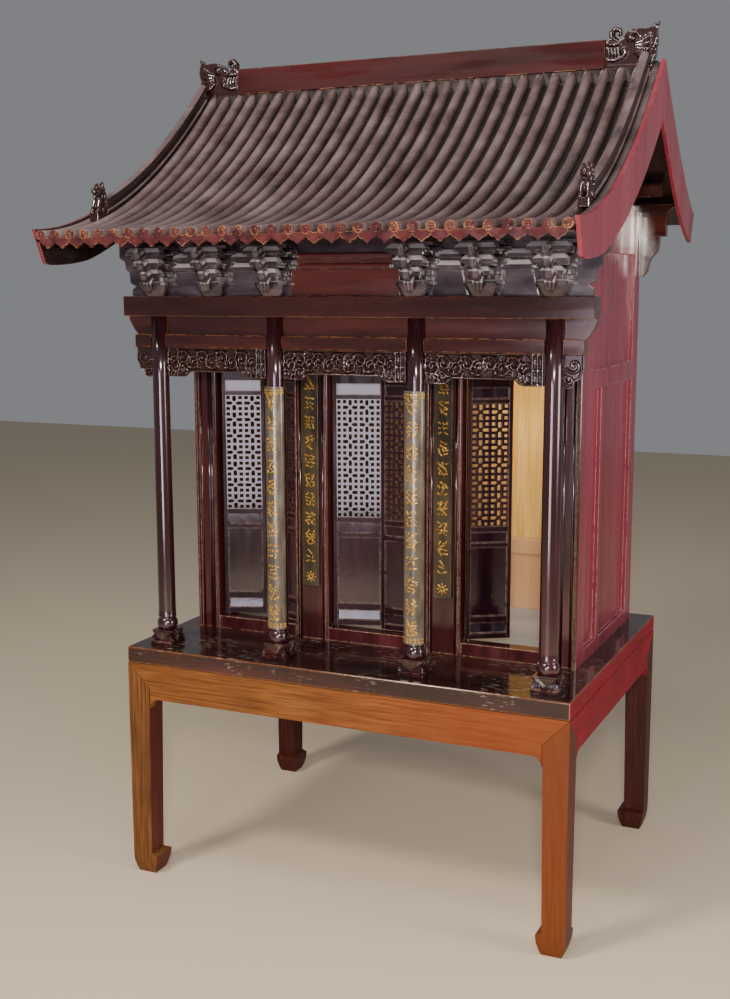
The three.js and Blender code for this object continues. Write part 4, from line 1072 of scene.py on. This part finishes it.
def make_clusters():
    """A flared block with a fluted beak, and three tiers of bevelled arms that step forward and widen."""
    low, back = CLUSTER_LOW, CLUSTER_BACK
    for name, cx in CLUSTERS.items():
        form = bmesh.new()
        rings = []
        for half, deep, rise in FLARE:
            corners = ((-half, deep - 6), (8 - half, deep), (half - 8, deep), (half, deep - 6), (half, 0),
                       (-half, 0))
            rings.append([(cx + across, back - ahead, low + rise) for across, ahead in corners])
        loft(form, rings)
        for dx, wide in ((-8.5, 4.4), (0, 5.6), (8.5, 4.4)):
            tube(form, [(cx + dx * spread, back - reach, low + rise) for spread, reach, rise, _ in FLUTE],
                 [wide * thick for *_, thick in FLUTE])
        for rise, reach, wide, half in TIERS:
            z, nose = low + rise, back - reach
            block(form, (cx - half, cx + half), (back - 12, back), (z, z + 11))
            hipped(form, (cx - wide * 0.85, cx + wide * 0.85), (nose, nose + 26), (z, z + 18), 9, 10)
            block(form, (cx - wide * 0.7, cx + wide * 0.7), (nose + 7, back - 8), (z - 6, z + 6))
            tube(form, [(cx, nose + behind, z + up) for behind, up, _ in NOSE],
                 [thick for *_, thick in NOSE], 10)
        block(form, (cx - CAP_HALF, cx + CAP_HALF), (back - CAP_HALF, back), (low + CAP_LOW, low + CAP_HIGH))
        wrap_up(form, f"bracket_cluster_{name}_carved", BRACKET_LACQUER, bevel=0.9)


def make_backing():
    """The stepped board behind the clusters: raised fields and bevelled rails between them."""
    top = on_roof(FRONT_EAVE, BACKING_FRONT, -30) - 1
    steps = [(582, CLUSTER_LOW), (582, 1494), (571, 1502), (587, 1510), (590, 1536), (600, 1543), (602, 1562),
             (618, 1571), (618, top)]
    form = bmesh.new()
    plate(form, steps + [(-x, z) for x, z in steps[::-1]], BACKING_FRONT, BACKING_BACK)
    places = list(CLUSTERS.values())
    for a, b in zip(places, places[1:]):
        if b - a > 200:
            continue
        for z in BACKING_RAILS:
            hipped(form, (a + 50, b - 50), (BACKING_FRONT - 18, BACKING_FRONT + 1), (z - 3, z + 15), 9, 10)
        field = [(a + 40, 1481), (b - 40, 1481), (b - 54, 1536), (a + 54, 1536)]
        plate(form, field, BACKING_FRONT - 5, BACKING_FRONT + 1)
    wrap_up(form, "bracket_backing_board", BRACKET_LACQUER, bevel=0.9)
    form = bmesh.new()
    for z in BACKING_RAILS:
        hipped(form, (-118, 118), (BACKING_FRONT - 9, BACKING_FRONT + 1), (z, z + 12), 3, 4)
    for half, low, high in ((138, 1480, 1539), (122, 1554, 1563)):
        block(form, (-half, half), (BACKING_FRONT - 3, BACKING_FRONT + 1), (low, high))
    wrap_up(form, "bracket_backing_centre", CENTRE_LACQUER, bevel=0.9)


# ------------------------------------------------------------------ solids that keep their own form
POST_BACK, GABLE_FOOT = -39.4, 1630


def wall_finish(face):
    """The corner post takes the posts' finish, what faces the room is bare, and the gable takes the dark pan
    lacquer as painted shade under the roof.
    """
    middle = face.calc_center_median()
    if middle.y < POST_BACK * MM:
        return 1
    # Painted shade: the gable under the roof takes the dark pan lacquer.
    if middle.z > GABLE_FOOT * MM:
        return 3
    return 2 if face.normal.x * middle.x < 0 else 0


# Which of its finishes a face takes, by the first word of its solid's name.
FACE_FINISH = {"side": wall_finish, "back": lambda face: int(face.normal.y > 0.5),
               "roof": lambda face: int(face.normal.z < 0), "leg": lambda face: int(abs(face.normal.x) > 0.8),
               "platform": lambda face: int(abs(face.normal.x) > 0.9)}
# Each solid: how much its arrises are eased, and its finishes.
PLAIN = {
    "platform_board": (2.0, PLATFORM_LACQUER, STAND_SIDE_WOOD),
    "lintel": (1.5, PORCH_LACQUER),
    "frieze_board": (1.2, PORCH_LACQUER),
    "ridge_beam": (1.5, RIDGE_LACQUER),
    "door_head": (1.0, PORCH_LACQUER),
    "ceiling_board": (0.8, PORCH_LACQUER),
    "purlin_lower": (1.2, PORCH_LACQUER),
    "purlin_upper": (1.2, PORCH_LACQUER),
    "back_wall": (1.0, RAW_WOOD, BACK_WOOD),
    # The undersides of the back roof take the dark pan lacquer as painted shade.
    "roof_back": (1.0, CRIMSON_LACQUER, DARK_PAN_AND_SHADE_LACQUER),
}
for end in ("left", "right"):
    PLAIN[f"side_wall_{end}"] = (1.0, WALL_LACQUER, POST_LACQUER, RAW_WOOD, DARK_PAN_AND_SHADE_LACQUER)
    PLAIN[f"middle_post_{end}"] = (0.8, POST_LACQUER)
    PLAIN[f"apron_{end}"] = (1.5, STAND_SIDE_WOOD)
    PLAIN[f"leg_front_{end}"] = (2.0, HONEY_WOOD_UPRIGHT, STAND_SIDE_UPRIGHT)
    PLAIN[f"leg_back_{end}"] = (2.0, DARK_LEG_WOOD, DARK_LEG_WOOD)
for bay in BAYS:
    PLAIN[f"door_sill_{bay}"] = (1.0, POST_LACQUER)
for depth in ("front", "back"):
    PLAIN[f"apron_{depth}"] = (1.5, HONEY_WOOD)


def dress(node, ease, *finishes):
    """A CAD solid with its arrises eased, in its finish, or in several that its rule shares out."""
    rule = FACE_FINISH.get(node.split("_")[0])
    form = bmesh.new()
    form.from_mesh(frame["nodes"][node].data)
    bmesh.ops.remove_doubles(form, verts=form.verts, dist=1e-6)
    bmesh.ops.dissolve_limit(form, angle_limit=math.radians(1), verts=form.verts, edges=form.edges)
    for face in form.faces:
        face.material_index = rule(face) if rule else 0
    settle(put_form(f"{node}_finished", form), finishes, node, ease)


# ------------------------------------------------------------------ studio, in metres
FLOOR_HALF = 9
# Each soft light: its name, its place, what it points at, its width and height, its watts and its colour.
LIGHTS = (
    ("front", (0.55, -3.6, 0.72), (0.0, 0.0, 1.0), (0.9, 0.82), 23.5, "#f2e6f8"),
    ("near", (1.4, -3.3, 1.85), (0.1, 0.0, 1.0), (0.3, 0.3), 90, "#fff6ea"),
    ("strip", (-0.04, -3.4, 0.85), (-0.04, 0, 0.85), (0.16, 1.0), 18, "#f6eeff"),
    ("key", (-1.4, -3.0, 3.9), (0, 0, 1.2), (0.8, 0.8), 130, "#fff3e4"),
    ("side", (3.4, -0.5, 1.5), (0.5, 0.1, 1.1), (1.0, 1.4), 62, "#fff4f0"),
    ("top", (0.2, -1.6, 4.2), (0, 0, 1.4), (2.0, 1.2), 50, "#ffffff"),
    ("inside", (0.2, 0.1, 1.46), (0.4, 0.5, 0.9), (0.5, 0.2), 4.8, "#ffeacc"),
)
CAMERA_PLACE, CAMERA_LENS = (1.297, -3.013, 1.494), 47.12
CAMERA_YAW, CAMERA_PITCH, CAMERA_ROLL = 24.34, 9.14, -0.145


def lay_floor():
    """A pale matt floor."""
    form = bmesh.new()
    half = (-FLOOR_HALF, FLOOR_HALF)
    form.faces.new([form.verts.new(corner) for corner in rectangle(half, half, 0)])
    floor = put_form("floor", form)
    matt, tree = blank("pale_floor")
    add(tree, "OutputMaterial", [add(tree, "BsdfPrincipled", {"Base Color": "#cdbda4", "Roughness": 0.85})])
    floor.data.materials.append(matt)


def light_world():
    """An even, faintly blue light from all round."""
    world = bpy.data.worlds.new("studio")
    bpy.context.scene.world = world
    world.use_nodes = True
    sky = world.node_tree.nodes["Background"].inputs
    sky["Color"].default_value = linear("#d7d9de")
    sky["Strength"].default_value = 0.32


def light(name, place, target, size, power, colour):
    """A soft light that points from its place at a target."""
    data = bpy.data.lights.new(name, "AREA")
    data.shape = "RECTANGLE"
    data.size, data.size_y = size
    data.energy = power
    data.color = linear(colour)[:3]
    lamp = put(name, data)
    lamp.location = place
    lamp.rotation_euler = (Vector(target) - Vector(place)).to_track_quat("-Z", "Y").to_euler()


def set_camera():
    """A camera at the height of a standing person's eyes, to the right of the front."""
    data = bpy.data.cameras.new("camera")
    data.sensor_fit = "AUTO"
    data.sensor_width = 36
    data.lens = CAMERA_LENS
    camera = put("camera", data)
    turn = (Matrix.Rotation(math.radians(CAMERA_YAW), 4, "Z")
            @ Matrix.Rotation(math.radians(90 - CAMERA_PITCH), 4, "X")
            @ Matrix.Rotation(math.radians(CAMERA_ROLL), 4, "Z"))
    camera.matrix_world = Matrix.Translation(CAMERA_PLACE) @ turn
    bpy.context.scene.camera = camera


# ------------------------------------------------------------------ the cabinet in its studio
make_roof()
make_barges()
make_descending_ridges()
make_dragons()
make_leaves()
make_post_beads()
make_columns()
make_inscriptions()
make_frets()
make_clusters()
make_backing()
for node, looks in PLAIN.items():
    dress(node, *looks)
lay_floor()
light_world()
for looks in LIGHTS:
    light(*looks)
set_camera()
